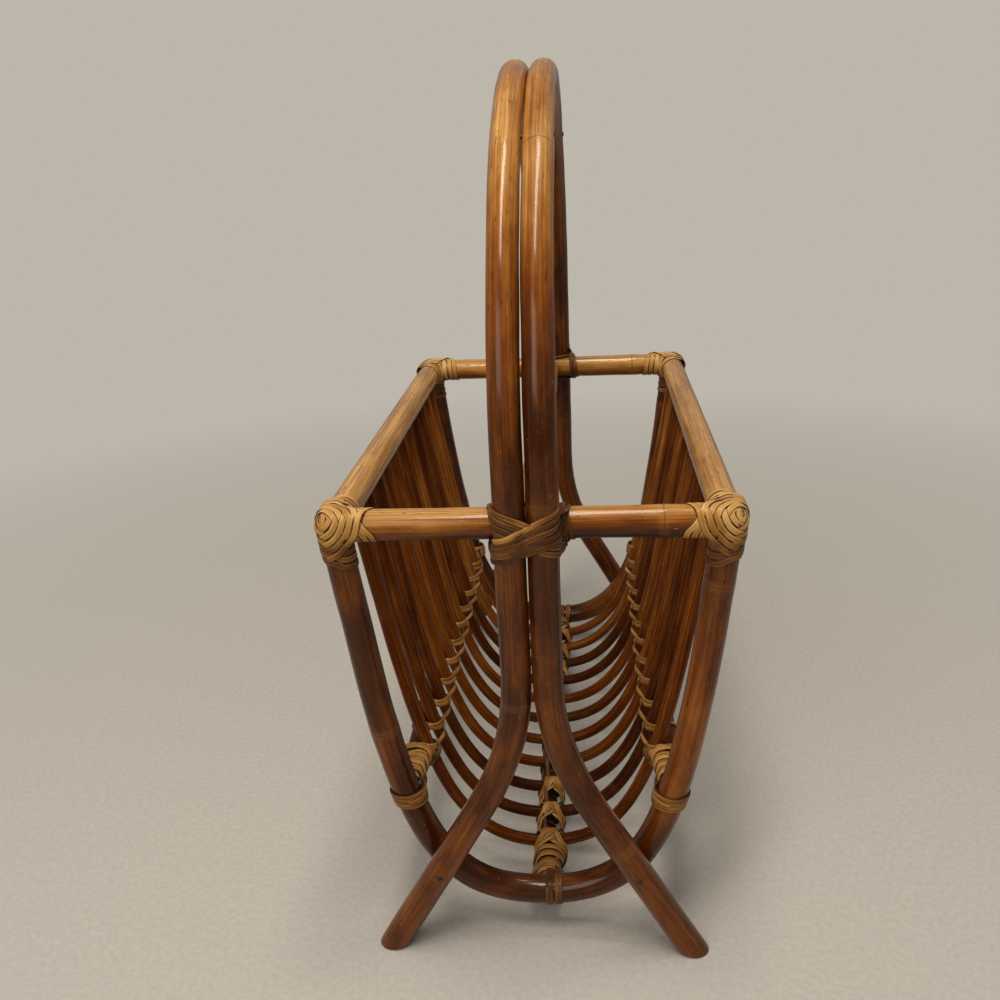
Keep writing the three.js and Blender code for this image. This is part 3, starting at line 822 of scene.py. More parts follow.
@dataclass(frozen=True, kw_only=True)
class CaneFinish(SkinFinish):
    """The varnished skin of a cane, with streaks, flecks, scuffs and growth rings."""

    contrast: float
    ring_share: float
    varnish_roughness: float = 0.13
    relief: float = 0.35
    relief_depth: float = 0.25 * MM
    line_share: float = 0.8
    line_depth: float = -0.25
    fleck_share: float = 0.7
    scuff_share: float = 0.55
    ring_width: float = 0.8 * MM
    ring_reach: float = 4 * MM
    ring_pale: float = 0.35
    ring_dark: float = 0.6

    def material(self, grain: Tree) -> Material:
        """Builds the material round the shared grain group.

        Args:
            grain: The shared grain group.

        Returns:
            The new material.
        """
        material, skin, _, base = self.begin(grain, CANE_TONES)
        tree = material.node_tree
        dark = mix_colour(tree, 1.0, base, srgb(138, 98, 78), "MULTIPLY")
        lines = skin.outputs["Lines"]
        streaked = overlay(tree, base, skin.outputs["Streaks"], self.contrast, dark)
        lined = overlay(tree, streaked, lines, self.contrast * self.line_share, dark)
        flecked = overlay(tree, lined, skin.outputs["Flecks"], self.fleck_share, srgb(48, 26, 12))
        scuffed = overlay(tree, flecked, skin.outputs["Scuffs"], self.scuff_share, srgb(206, 156, 96))
        away = arithmetic(tree, "ABSOLUTE", read_mark(tree, "from_ring"), 0)
        ring_line = remap(tree, away, (0, self.ring_width), (1, 0))
        beside = remap(tree, away, (self.ring_width, self.ring_reach), (self.ring_share, 0))
        pale = mix_colour(tree, self.ring_pale, scuffed, srgb(196, 140, 78))
        paled = mix_colour(tree, beside, scuffed, pale)
        ringed = overlay(tree, paled, ring_line, self.ring_dark, srgb(70, 38, 20))
        sunk_lines = arithmetic(tree, "MULTIPLY", lines, self.line_depth)
        self.end(skin, ringed, arithmetic(tree, "ADD", sunk_lines, ring_line))
        return material


@dataclass(frozen=True, kw_only=True)
class StripFinish(SkinFinish):
    """The skin of a flat cane strip: fibres along it, pale painted highlights near its edges, and painted
    shade at its edges where strips meet.
    """

    shine: float = 0.2
    varnish: float = 0.15
    varnish_roughness: float = 0.25
    blotching: float = 0.25
    relief: float = 0.4
    relief_depth: float = 0.12 * MM
    fibre_share: float = 0.5
    # Span across the strip and share of the pale painted highlight near its edges.
    edge_highlit: Pair = (0.4, 0.66)
    highlight_share: float = 0.45
    # Span across the strip and share of the painted shade at its edges.
    painted_shading: Pair = (0.68, 0.95)
    shade_share: float = 0.92

    def material(self, grain: Tree) -> Material:
        """Builds the material with fibres, painted edge highlights and painted shade at the edges.

        Args:
            grain: The shared grain group.

        Returns:
            The new material.
        """
        material, skin, tone, base = self.begin(grain, STRIP_TONES)
        tree = material.node_tree
        dark = mix_colour(tree, 1.0, base, srgb(170, 130, 100), "MULTIPLY")
        lined = overlay(tree, base, skin.outputs["Lines"], self.fibre_share, dark)
        streaked = overlay(tree, lined, skin.outputs["Streaks"], self.fibre_share, dark)
        edge = arithmetic(tree, "ABSOLUTE", read_mark(tree, "across"), 0)
        # Painted highlight: pale bands near the edges, paler on golden strips.
        edge_highlight = arithmetic(tree, "MULTIPLY", remap(tree, edge, self.edge_highlit, (0, self.highlight_share)), tone)
        edge_highlit = mix_colour(tree, edge_highlight, streaked, srgb(222, 178, 116))
        # Painted shade: the strip's edges are darkened where strips meet.
        shade_paint = remap(tree, edge, self.painted_shading, (0, self.shade_share))
        self.end(skin, mix_colour(tree, shade_paint, edge_highlit, srgb(44, 24, 12)), skin.outputs["Lines"], sunk=True)
        return material


@dataclass(frozen=True)
class PlainFinish:
    """A finish with faint mottling, for the floor and the nails."""

    name: str
    colour: Colour
    mottle: Colour
    scale: float
    roughness: float
    metallic: float = 0.0
    detail: float = 4
    mottle_span: Pair = (0.35, 0.65)
    rough_span: Pair = (0.3, 0.7)
    rough_spread: float = 0.05

    def material(self) -> Material:
        """Builds the mottled material.

        Returns:
            The new material.
        """
        material = bpy.data.materials.new(self.name)
        material.use_nodes = True
        tree = material.node_tree
        shader = tree.nodes["Principled BSDF"]
        noise = add_node(tree, "ShaderNodeTexNoise")
        set_inputs(noise, {"Scale": self.scale, "Detail": self.detail})
        link(tree, add_node(tree, "ShaderNodeTexCoord").outputs["Object"], noise.inputs["Vector"])
        share = remap(tree, noise.outputs["Fac"], self.mottle_span)
        link(tree, mix_colour(tree, share, self.colour, self.mottle), shader.inputs["Base Color"])
        roughness = (self.roughness - self.rough_spread, self.roughness + self.rough_spread)
        spread = remap(tree, noise.outputs["Fac"], self.rough_span, roughness)
        link(tree, spread, shader.inputs["Roughness"])
        set_inputs(shader, {"Metallic": self.metallic})
        return material


@dataclass(frozen=True)
class StripSizes:
    """Sizes of the flat cane strip and of how it is laid."""

    width: float = 3.5 * MM
    thickness: float = 0.72 * MM
    gap: float = 0.08 * MM
    step: float = 1.15 * MM
    tuck: float = 3.5 * MM
    nesting: float = 0.85
    most_lift: float = 2.1 * MM


STRIP_SECTION = ((-1, -1), (1, -1), (1, 0), (0.72, 0.7), (0.25, 1), (-0.25, 1), (-0.72, 0.7), (-1, 0))
WAY_LIFT = 1 * MM
ARC_STEP = 30
LEAST_STEPS = 4
SETTLE_ROUNDS = 5
SETTLE_SHARE = 0.6
PULL_REACH = 3 * MM
TENSION_ROUNDS = 10
TENSION_SHARE = 0.25
BLEND_REACH = 1.5 * MM
BLEND_SPAN = (-4, 30)
TRUST_REACH = 0.4 * MM
FACING_REACH = 2
OVERLAP_SHARE = 0.76
SAME_SIDE = 0.2
STACK_CHUNK = 22
OWN_LAG = 2
OWN_REACH = 2
RAMP_STATIONS = 2
SINK_SHARE = 1.3
TONE_STRAY = 0.18
TONE_WAVE = 100 * MM
# How much more golden a strip is made where it faces up, as painted light from above.
PAINTED_TOP_LIGHT = 0.12
STRIP_CREASE = math.radians(50)
TINY = 1e-12


def unit(rows: Array) -> Array:
    """Vectors, one a row, brought to a length of one."""
    lengths = np.linalg.norm(rows, axis=-1, keepdims=True)
    return rows / np.maximum(lengths, TINY)


def smoothed(rows: Array, reach: int) -> Array:
    """Rows averaged with their neighbours on both sides.

    Args:
        rows: The rows, or plain numbers.
        reach: How many neighbours on each side count.

    Returns:
        As many rows as were given.
    """
    flat = rows[:, None] if rows.ndim == 1 else rows
    padded = np.pad(flat, ((reach, reach), (0, 0)), mode="edge")
    total = sum(padded[shift : shift + len(flat)] for shift in range(2 * reach + 1))
    return (total / (2 * reach + 1)).reshape(rows.shape)


def resampled(way: Way, step: float) -> Array:
    """Points at even steps along the straight lines through given points.

    Args:
        way: The given points.
        step: Distance between two new points.

    Returns:
        One new point a row.
    """
    rows = np.array(way)
    lengths = np.linalg.norm(np.diff(rows, axis=0), axis=1)
    travelled = np.concatenate([[0], np.cumsum(lengths)])
    count = max(LEAST_STEPS, round(travelled[-1] / step))
    wanted = np.linspace(0, travelled[-1], count + 1)
    return np.stack([np.interp(wanted, travelled, rows[:, axis]) for axis in range(3)], axis=1)


def arc_shares(degrees: Pair) -> list[float]:
    """Even shares of an arc between two angles, as many as it needs to stay round."""
    count = max(1, math.ceil(abs(degrees[1] - degrees[0]) / ARC_STEP))
    return [index / count for index in range(count + 1)]


def between(pair: Pair, share: float) -> float:
    """The value at a share of the way from the first of two values to the second."""
    return pair[0] + (pair[1] - pair[0]) * share


@dataclass
class Leg:
    """A straight stretch of cane that a strip goes round.

    Attributes:
        origin: A point of its axis.
        axis: The way along it.
        zero: The side where the angle is zero.
        quarter: The side where the angle is a quarter turn.
        radius: Half its thickness.
    """

    origin: Array
    axis: Array
    zero: Array
    quarter: Array
    radius: float

    def at(self, along: float, degrees: float, lift: float = WAY_LIFT) -> Array:
        """A point beside the leg, at a distance along it and an angle round it.

        Args:
            along: The distance along it.
            degrees: The angle round it.
            lift: How far the point is off its skin.

        Returns:
            The point.
        """
        angle = math.radians(degrees)
        side = self.zero * math.cos(angle) + self.quarter * math.sin(angle)
        return self.origin + self.axis * along + side * (self.radius + lift)

    def arc(self, along: Pair, degrees: Pair) -> Way:
        """Points round the leg from one place to another."""
        return [self.at(between(along, share), between(degrees, share)) for share in arc_shares(degrees)]


@dataclass
class LaidStrip:
    """A strip in its place."""

    places: Array
    facing: Array
    tone: float
    width: float


def strip_faces(start: int, count: int) -> list[list[int]]:
    """The faces round one strip and over its two ends.

    Args:
        start: Number of its first point.
        count: How many sections it has.

    Returns:
        Each face as the numbers of its points.
    """
    size = len(STRIP_SECTION)
    ring = start + np.arange(count - 1)[:, None] * size
    here = ring + np.arange(size)[None]
    beside = ring + (np.arange(size)[None] + 1) % size
    quads = np.stack([here, beside, beside + size, here + size], axis=2).reshape(-1, 4)
    last = start + (count - 1) * size
    return quads.tolist() + [list(range(start + size - 1, start - 1, -1)), list(range(last, last + size))]


class Winding:
    """Strips wound over canes, each lying on the canes and on what was wound before it."""

    def __init__(self, canes: Canes, sizes: StripSizes) -> None:
        """Keeps the canes, as lines with half a thickness, that the strips lie on.

        Args:
            canes: The middle line of each cane and half its thickness.
            sizes: The sizes of the strip.
        """
        self.canes = canes
        self.sizes = sizes
        self.bases = np.zeros((0, 3))
        self.ways = np.zeros((0, 3))
        self.sides = np.zeros((0, 3))
        self.lifts = np.zeros(0)
        self.strips: list[LaidStrip] = []

    def lie_over(self, other: "Winding") -> None:
        """Takes the strips of another winding as lying under this one."""
        self.bases, self.ways, self.sides, self.lifts = other.bases, other.ways, other.sides, other.lifts

    def nearest(self, places: Array) -> tuple[Array, Array, Array]:
        """How far points are from the canes' skin.

        Args:
            places: One point a row.

        Returns:
            The distances, the direction away from the nearest cane, and that direction blended
            over all the canes that are near.
        """
        least = np.full(len(places), np.inf)
        nearest_side = np.zeros_like(places)
        blended = np.zeros_like(places)
        rows = np.arange(len(places))
        for line, radius in self.canes:
            starts, spans = line[:-1], np.diff(line, axis=0)
            offsets = places[:, None] - starts[None]
            shares = (offsets * spans).sum(2) / (spans * spans).sum(1)
            away = offsets - np.clip(shares, 0, 1)[..., None] * spans
            lengths = np.linalg.norm(away, axis=2)
            pick = lengths.argmin(1)
            side = unit(away[rows, pick])
            distance = lengths[rows, pick] - radius
            blended += side * np.exp(-np.clip(distance / BLEND_REACH, *BLEND_SPAN))[:, None]
            closer = distance < least
            least[closer] = distance[closer]
            nearest_side[closer] = side[closer]
        return least, nearest_side, unit(blended)

    def settle(self, way: Way) -> Array:
        """Lays a way onto the canes and pulls it taut.

        Args:
            way: Points that the strip passes.

        Returns:
            Its points at even steps.
        """
        seat = self.sizes.gap + self.sizes.thickness / 2
        places = resampled(way, self.sizes.step)
        for _ in range(SETTLE_ROUNDS):
            distance, side, _ = self.nearest(places)
            near = distance < PULL_REACH
            places[near] += (side * (seat - distance)[:, None])[near] * SETTLE_SHARE
        for _ in range(TENSION_ROUNDS):
            places[1:-1] += TENSION_SHARE * (places[:-2] - 2 * places[1:-1] + places[2:])
            distance, side, _ = self.nearest(places)
            inside = distance < seat
            places[inside] += (side * (seat - distance)[:, None])[inside]
        return resampled(list(places), self.sizes.step)

    def stack(self, base: Array, ways: Array, sides: Array) -> Array:
        """How far each point of a strip is lifted by the strips under it.

        Args:
            base: The strip's points, where nothing lies under it.
            ways: The way along it at each point.
            sides: The way off the cane at each point.

        Returns:
            One height a point.
        """
        lifts = np.zeros(len(base))
        for first in range(0, len(base), STACK_CHUNK):
            rows = slice(first, min(first + STACK_CHUNK, len(base)))
            earlier = max(0, first - OWN_LAG)
            bases = np.vstack([self.bases, base[:earlier]])
            if not len(bases):
                continue
            other_ways = np.vstack([self.ways, ways[:earlier]])
            other_sides = np.vstack([self.sides, sides[:earlier]])
            other_lifts = np.concatenate([self.lifts, lifts[:earlier]])
            gaps = np.linalg.norm(base[rows, None] - bases[None], axis=2)
            lined = np.abs(ways[rows] @ other_ways.T)
            reach = self.sizes.width / 2 * (1 + lined) * OVERLAP_SHARE
            over = (gaps < reach) & (sides[rows] @ other_sides.T > SAME_SIDE)
            if earlier:
                own = np.arange(len(base))[rows][:, None] - np.arange(earlier)[None]
                over[:, -earlier:] &= own * self.sizes.step > OWN_REACH * self.sizes.width
            stacked = np.where(over, other_lifts[None] + self.sizes.thickness * self.sizes.nesting, 0)
            lifts[rows] = np.minimum(stacked.max(1), self.sizes.most_lift)
        wide = np.pad(lifts, RAMP_STATIONS, mode="edge")
        shifted = [wide[shift : shift + len(lifts)] for shift in range(2 * RAMP_STATIONS + 1)]
        return smoothed(np.max(shifted, axis=0), RAMP_STATIONS)

    def lay(self, way: Way, tone: float, width: float | None = None) -> None:
        """Lays one strip along a way, over all that is already wound.

        Args:
            way: Points that the strip passes.
            tone: How golden it is.
            width: Its width where it isn't the usual one.
        """
        base = self.settle(way)
        ways = unit(np.gradient(base, axis=0))
        distance, _, blended = self.nearest(base)
        trust = np.exp(-np.clip(distance - self.sizes.thickness, 0, None) / TRUST_REACH)
        sides = unit(smoothed(blended * trust[:, None], FACING_REACH))
        sides = unit(sides - ways * (sides * ways).sum(1, keepdims=True))
        lifts = self.stack(base, ways, sides)
        stations = np.arange(len(base)) * self.sizes.step
        to_end = np.minimum(stations, stations[-1] - stations)
        sink = self.sizes.thickness * SINK_SHARE * np.clip(1 - to_end / self.sizes.tuck, 0, 1)
        places = base + sides * (lifts - sink)[:, None]
        self.bases = np.vstack([self.bases, base])
        self.ways = np.vstack([self.ways, ways])
        self.sides = np.vstack([self.sides, sides])
        self.lifts = np.concatenate([self.lifts, lifts])
        self.strips.append(LaidStrip(places, sides, tone, width or self.sizes.width))

    def mesh(self, name: str, seed: int, shade_paint: tuple[float, float, float] = (0, 1, 0)) -> Piece:
        """Builds every strip as one piece, marked with its grain and tone.

        Args:
            name: The piece's name.
            seed: Number of its own for how its tone varies.
            shade_paint: Height under which the strips are darkened as painted shade, over what depth, and
                by how much.

        Returns:
            The new object.
        """
        size = len(STRIP_SECTION)
        points, faces, grain, across, tones = [], [], [], [], []
        start = 0
        for index, strip in enumerate(self.strips):
            count = len(strip.places)
            section = np.array(STRIP_SECTION) / 2 * (strip.width, self.sizes.thickness)
            ways = unit(np.gradient(strip.places, axis=0))
            facing = unit(strip.facing - ways * (strip.facing * ways).sum(1, keepdims=True))
            aside = np.cross(facing, ways)
            rings = strip.places[:, None] + aside[:, None] * section[None, :, :1]
            rings = rings + facing[:, None] * section[None, :, 1:]
            points.append(rings.reshape(-1, 3))
            along = np.arange(count) * self.sizes.step
            shifted = np.repeat(along + GRAIN_STRIDE * (seed + index), size)
            grain.append(np.column_stack([np.tile(section, (count, 1)), shifted]))
            across.append(np.tile(section[:, 0] * 2 / strip.width, count))
            uneven = strip.tone + TONE_STRAY * smooth_noise(along, TONE_WAVE, seed + index)
            # Painted shade: strips are darkened below a height.
            painted_shading = shade_paint[2] * np.clip((shade_paint[0] - strip.places[:, 2]) / shade_paint[1], 0, 1)
            # Painted light: strips that face up are made more golden.
            tones.append(np.repeat(uneven + PAINTED_TOP_LIGHT * strip.facing[:, 2] - painted_shading, size))
            faces += strip_faces(start, count)
            start += count * size
        mesh = bpy.data.meshes.new(name)
        mesh.from_pydata(np.vstack(points).tolist(), [], faces)
        piece = bpy.data.objects.new(name, mesh)
        bpy.context.scene.collection.objects.link(piece)
        store_values(piece, "grain", np.vstack(grain))
        store_values(piece, "across", np.concatenate(across))
        store_values(piece, "tone", np.concatenate(tones))
        make_active(piece)
        bpy.ops.object.mode_set(mode="EDIT")
        bpy.ops.mesh.select_all(action="SELECT")
        bpy.ops.mesh.normals_make_consistent(inside=False)
        bpy.ops.object.mode_set(mode="OBJECT")
        bpy.ops.object.shade_smooth_by_angle(angle=STRIP_CREASE)
        return piece


def arc_handle(angle: float, radius: float) -> float:
    """Length of the handles that make a guide line bend round by an angle."""
    return 4 / 3 * math.tan(angle / 4) * radius


@dataclass
class Hoops:
    """The two long hoops: feet, legs, uprights and the handle arch."""

    skin: Material
    radius: float = 8.75 * MM
    half_spacing: float = 9.05 * MM
    plane: float = 209.45 * MM
    top: float = 517 * MM
    arch_spring: float = 307.5 * MM
    foot_spread: float = 94 * MM
    splay: float = math.radians(30)
    bend_radius: float = 165 * MM
    overrun: float = 12 * MM
    foot_edge: float = 1.6 * MM
    # Tones along the hoop: golden at the arch, browner down the legs; partly the cane's stain and partly
    # painted light from above.
    tones: Pairs = (
        (0, 0.44), (0.06, 0.42), (0.11, 0.36), (0.16, 0.3), (0.27, 0.32), (0.3, 0.42), (0.345, 0.68),
        (0.385, 0.88), (0.44, 0.82), (0.5, 0.8), (0.55, 0.78), (0.62, 0.5), (0.7, 0.33), (1, 0.36),
    )
    rings: tuple[Row, ...] = ((0.21, 0.6, 0.86, 1.12), (0.1, 0.33, 0.53, 0.8, 1.08))

    def foot_axis(self, side: Side, end: End) -> tuple[Vector, Vector]:
        """Where the middle line of a leg meets the floor, and its way up."""
        foot = Vector((side.value * self.foot_spread, end.value * self.plane, 0))
        return foot, Vector((-side.value * math.sin(self.splay), 0, math.cos(self.splay)))

    def leg_knots(self, side: Side, end: End) -> list[Knot]:
        """Knots from below a foot up to where the arch begins.

        Args:
            side: Which hoop.
            end: The end of the basket.

        Returns:
            Four knots, from the foot up.
        """
        foot, along = self.foot_axis(side, end)
        inner = side.value * self.half_spacing
        shift = self.bend_radius * (1 - math.cos(self.splay))
        rise = (self.foot_spread - self.half_spacing - shift) / math.tan(self.splay)
        bend_low = foot + along * (rise / along.z)
        bend_high = Vector((inner, foot.y, rise + self.bend_radius * math.sin(self.splay)))
        handle = arc_handle(self.splay, self.bend_radius)
        start = foot - along * self.overrun
        spring = Vector((inner, foot.y, self.arch_spring))
        arch_handle = arc_handle(math.pi / 2, self.top - self.arch_spring)
        return [
            Knot(start, start, start.lerp(bend_low, HANDLE_SHARE)),
            Knot(bend_low, bend_low.lerp(start, HANDLE_SHARE), bend_low + along * handle),
            Knot(bend_high, bend_high - Vector((0, 0, handle)), bend_high.lerp(spring, HANDLE_SHARE)),
            Knot(spring, spring.lerp(bend_high, HANDLE_SHARE), spring + Vector((0, 0, arch_handle))),
        ]

    def knots(self, side: Side) -> list[Knot]:
        """The guide line of one hoop, from its front foot to its rear foot.

        Args:
            side: Which hoop.

        Returns:
            Nine knots from foot to foot.
        """
        front = self.leg_knots(side, End.FRONT)
        rear = self.leg_knots(side, End.REAR)
        handle = arc_handle(math.pi / 2, self.plane)
        apex = Vector((side.value * self.half_spacing, 0, self.top))
        crown = Knot(apex, apex - Vector((0, handle, 0)), apex + Vector((0, handle, 0)))
        return front + [crown] + [Knot(knot.at, knot.ahead, knot.back) for knot in reversed(rear)]

    def build(self) -> None:
        """Builds both hoops."""
        for side, rings in zip(Side, self.rings):
            shape = CaneShape(self.radius, self.tones, rings, seed=Seed.HOOP.value + side.value)
            cane = build_cane(f"hoop_cane_{side.name.lower()}", self.knots(side), shape)
            rounded_feet(cane, [self.foot_axis(side, end) for end in End], self.foot_edge)
            install(cane, self.skin, Slot.HOOP, f"hoop_{side.name.lower()}")


@dataclass(frozen=True)
class HangingLine:
    """A U shaped guide line, even on both sides."""

    low: float
    reach: float
    side: Pair
    top: Pair

    def knots(self, y: float) -> list[Knot]:
        """The guide line at a place along the basket.

        Args:
            y: The place.

        Returns:
            Three knots from left to right.
        """
        left, right = (Vector((sign * self.top[0], y, self.top[1])) for sign in SIGNS)
        handles = [Vector((sign * self.side[0], y, self.side[1])) for sign in SIGNS]
        middle = Vector((0, y, self.low))
        across = Vector((self.reach, 0, 0))
        return [
            Knot(left, left, handles[0]),
            Knot(middle, middle - across, middle + across),
            Knot(right, handles[1], right),
        ]


@dataclass
class Basket:
    """The frame of the basket: end frames, crossbars, rails, ribs and stringers."""

    thick: Material
    thin: Material
    half_length: float = 191.5 * MM
    half_width: float = 109 * MM
    rim_height: float = 280 * MM
    seat_gap: float = 0.3 * MM
    end_radius: float = 8.75 * MM
    end_line: HangingLine = HangingLine(28 * MM, 78 * MM, (88.3 * MM, 100 * MM), (109 * MM, 276 * MM))
    end_tones: Pairs = (
        (0, 0.28), (0.25, 0.28), (0.5, 0.3), (0.64, 0.34), (0.73, 0.52), (0.8, 0.5), (0.88, 0.34), (1, 0.3),
    )
    end_rings: Row = (0.13, 0.36, 0.56)
    bar_radius: float = 8.9 * MM
    bar_reach: float = 116.2 * MM
    bar_pitch: float = 2 * MM
    bar_tones: tuple[Pairs, Pairs] = (
        ((0, 0.59), (0.5, 0.54), (0.68, 0.31), (1, 0.25)),
        ((0, 0.74), (1, 0.74)),
    )
    bar_rings: Row = (0.19,)
    # Painted light from above: how much lighter the crossbars' tops and darker their undersides are made.
    bar_painted_top_light: float = 0.46
    rail_radius: float = 9.2 * MM
    centre_radius: float = 8 * MM
    rail_tones: Pairs = ((0, 0.82), (0.5, 0.76), (1, 0.8))
    rail_rings: Row = (0.26, 0.12, 0.3)
    # Painted light from above: how much lighter the rails' tops and darker their undersides are made.
    rail_painted_top_light: float = 0.2
    rib_radius: float = 4 * MM
    rib_growth: Pairs = ((0, 1.17), (0.25, 1.15), (0.33, 1), (0.67, 1), (0.75, 1.15), (1, 1.17))
    rib_line: HangingLine = HangingLine(
        30.5 * MM, 70 * MM, (79.5 * MM, 110.8 * MM), (107.5 * MM, 275.8 * MM)
    )
    rib_count: int = 11
    rib_pitch: float = 29.6 * MM
    rib_sides: int = 16
    rib_tones: Pair = (0.32, 0.74)
    # How a rib's tone changes along it, and between what places its two growth rings are.
    rib_shades: Pairs = ((0, 0), (0.3, 0.04), (0.5, -0.1), (0.7, 0), (1, 0.06))
    rib_rings: Pairs = ((0.05, 0.2), (0.3, 0.42))
    stringer_radius: float = 5.75 * MM
    stringer_sides: int = 20
    stringer_tones: Pairs = ((0, 0.3), (1, 0.36))
    stringer_rings: Row = (0.15,)
    side_stringer: Vector = field(default_factory=lambda: Vector((83.35 * MM, 0, 101.17 * MM)))
    bottom_stringer: Vector = field(default_factory=lambda: Vector((0, 0, 20.45 * MM)))

    def build_end_frames(self) -> None:
        """Builds the two end frames."""
        for end in End:
            seed = Seed.END_FRAME.value + end.value
            shape = CaneShape(self.end_radius, self.end_tones, self.end_rings, seed=seed)
            knots = self.end_line.knots(end.value * self.half_length)
            cane = build_cane(f"end_frame_cane_{end.name.lower()}", knots, shape)
            install(cane, self.thick, Slot.FRAME, f"end_frame_{end.name.lower()}")

    def build_crossbars(self) -> None:
        """Builds the two crossbars on top of the end frames."""
        for end, tones in zip(End, self.bar_tones):
            y = end.value * self.half_length
            ends = [Vector((sign * self.bar_reach, y, self.rim_height)) for sign in SIGNS]
            shape = CaneShape(self.bar_radius, tones, self.bar_rings, wander=0, painted_top_light=self.bar_painted_top_light)
            shape.ring_pitch, shape.seed = self.bar_pitch, Seed.CROSSBAR.value + end.value
            cane = build_cane(f"crossbar_cane_{end.name.lower()}", line_knots(*ends), shape)
            domed_ends(cane, self.bar_reach, self.bar_radius, self.rim_height)
            install(cane, self.thick, Slot.RIM, f"crossbar_{end.name.lower()}")

    def build_rails(self) -> None:
        """Builds the two side rails and the centre rail, saddled to the crossbars."""
        rails = {
            "rail_left": (-self.half_width, self.rail_radius),
            "rail_right": (self.half_width, self.rail_radius),
            "centre_rail": (0, self.centre_radius),
        }
        for index, (node, (x, radius)) in enumerate(rails.items()):
            ends = [Vector((x, sign * self.half_length, self.rim_height)) for sign in SIGNS]
            shape = CaneShape(radius, self.rail_tones, self.rail_rings[index : index + 1], wander=0)
            shape.seed, shape.painted_top_light = Seed.RAIL.value + index, self.rail_painted_top_light
            cane = build_cane(f"{node}_cane", line_knots(*ends), shape)
            for sign in SIGNS:
                y = sign * self.half_length
                bar = [Vector((far * self.bar_reach * 2, y, self.rim_height)) for far in SIGNS]
                cut_with(cane, self.bar_radius + self.seat_gap, *bar)
            install(cane, self.thick, Slot.RIM, node)

    def rib_places(self) -> list[float]:
        """Where the ribs stand along the basket."""
        return [(index - (self.rib_count - 1) / 2) * self.rib_pitch for index in range(self.rib_count)]

    def build_ribs(self) -> None:
        """Builds the ribs, each with a tone of its own."""
        draw = random.Random(Seed.RIB_TONES.value)
        for index, y in enumerate(self.rib_places()):
            depth = draw.uniform(*self.rib_tones)
            tones = tuple((share, depth + shade) for share, shade in self.rib_shades)
            rings = tuple(draw.uniform(*span) for span in self.rib_rings)
            shape = CaneShape(self.rib_radius, tones, rings, self.rib_sides, growth=self.rib_growth)
            shape.seed = Seed.RIB.value + index * 3
            cane = build_cane(f"rib_cane_{index + 1}", self.rib_line.knots(y), shape)
            install(cane, self.thin, Slot.RIB, f"rib_{index + 1}")

    def stringers(self) -> dict[str, Vector]:
        """The middle of each stringer, by its name."""
        side = self.side_stringer
        return {"left": Vector((-side.x, 0, side.z)), "right": side, "bottom": self.bottom_stringer}

    def build_stringers(self) -> None:
        """Builds the three stringers outside the ribs."""
        reach = Vector((0, self.half_length - self.end_radius - self.seat_gap, 0))
        for index, (name, centre) in enumerate(self.stringers().items()):
            shape = CaneShape(self.stringer_radius, self.stringer_tones, self.stringer_rings, wander=0)
            shape.sides, shape.seed = self.stringer_sides, Seed.STRINGER.value + index
            cane = build_cane(f"stringer_cane_{name}", line_knots(centre - reach, centre + reach), shape)
            install(cane, self.thin, Slot.FRAME, f"stringer_{name}")


X_AXIS, Y_AXIS, Z_AXIS = np.eye(3)


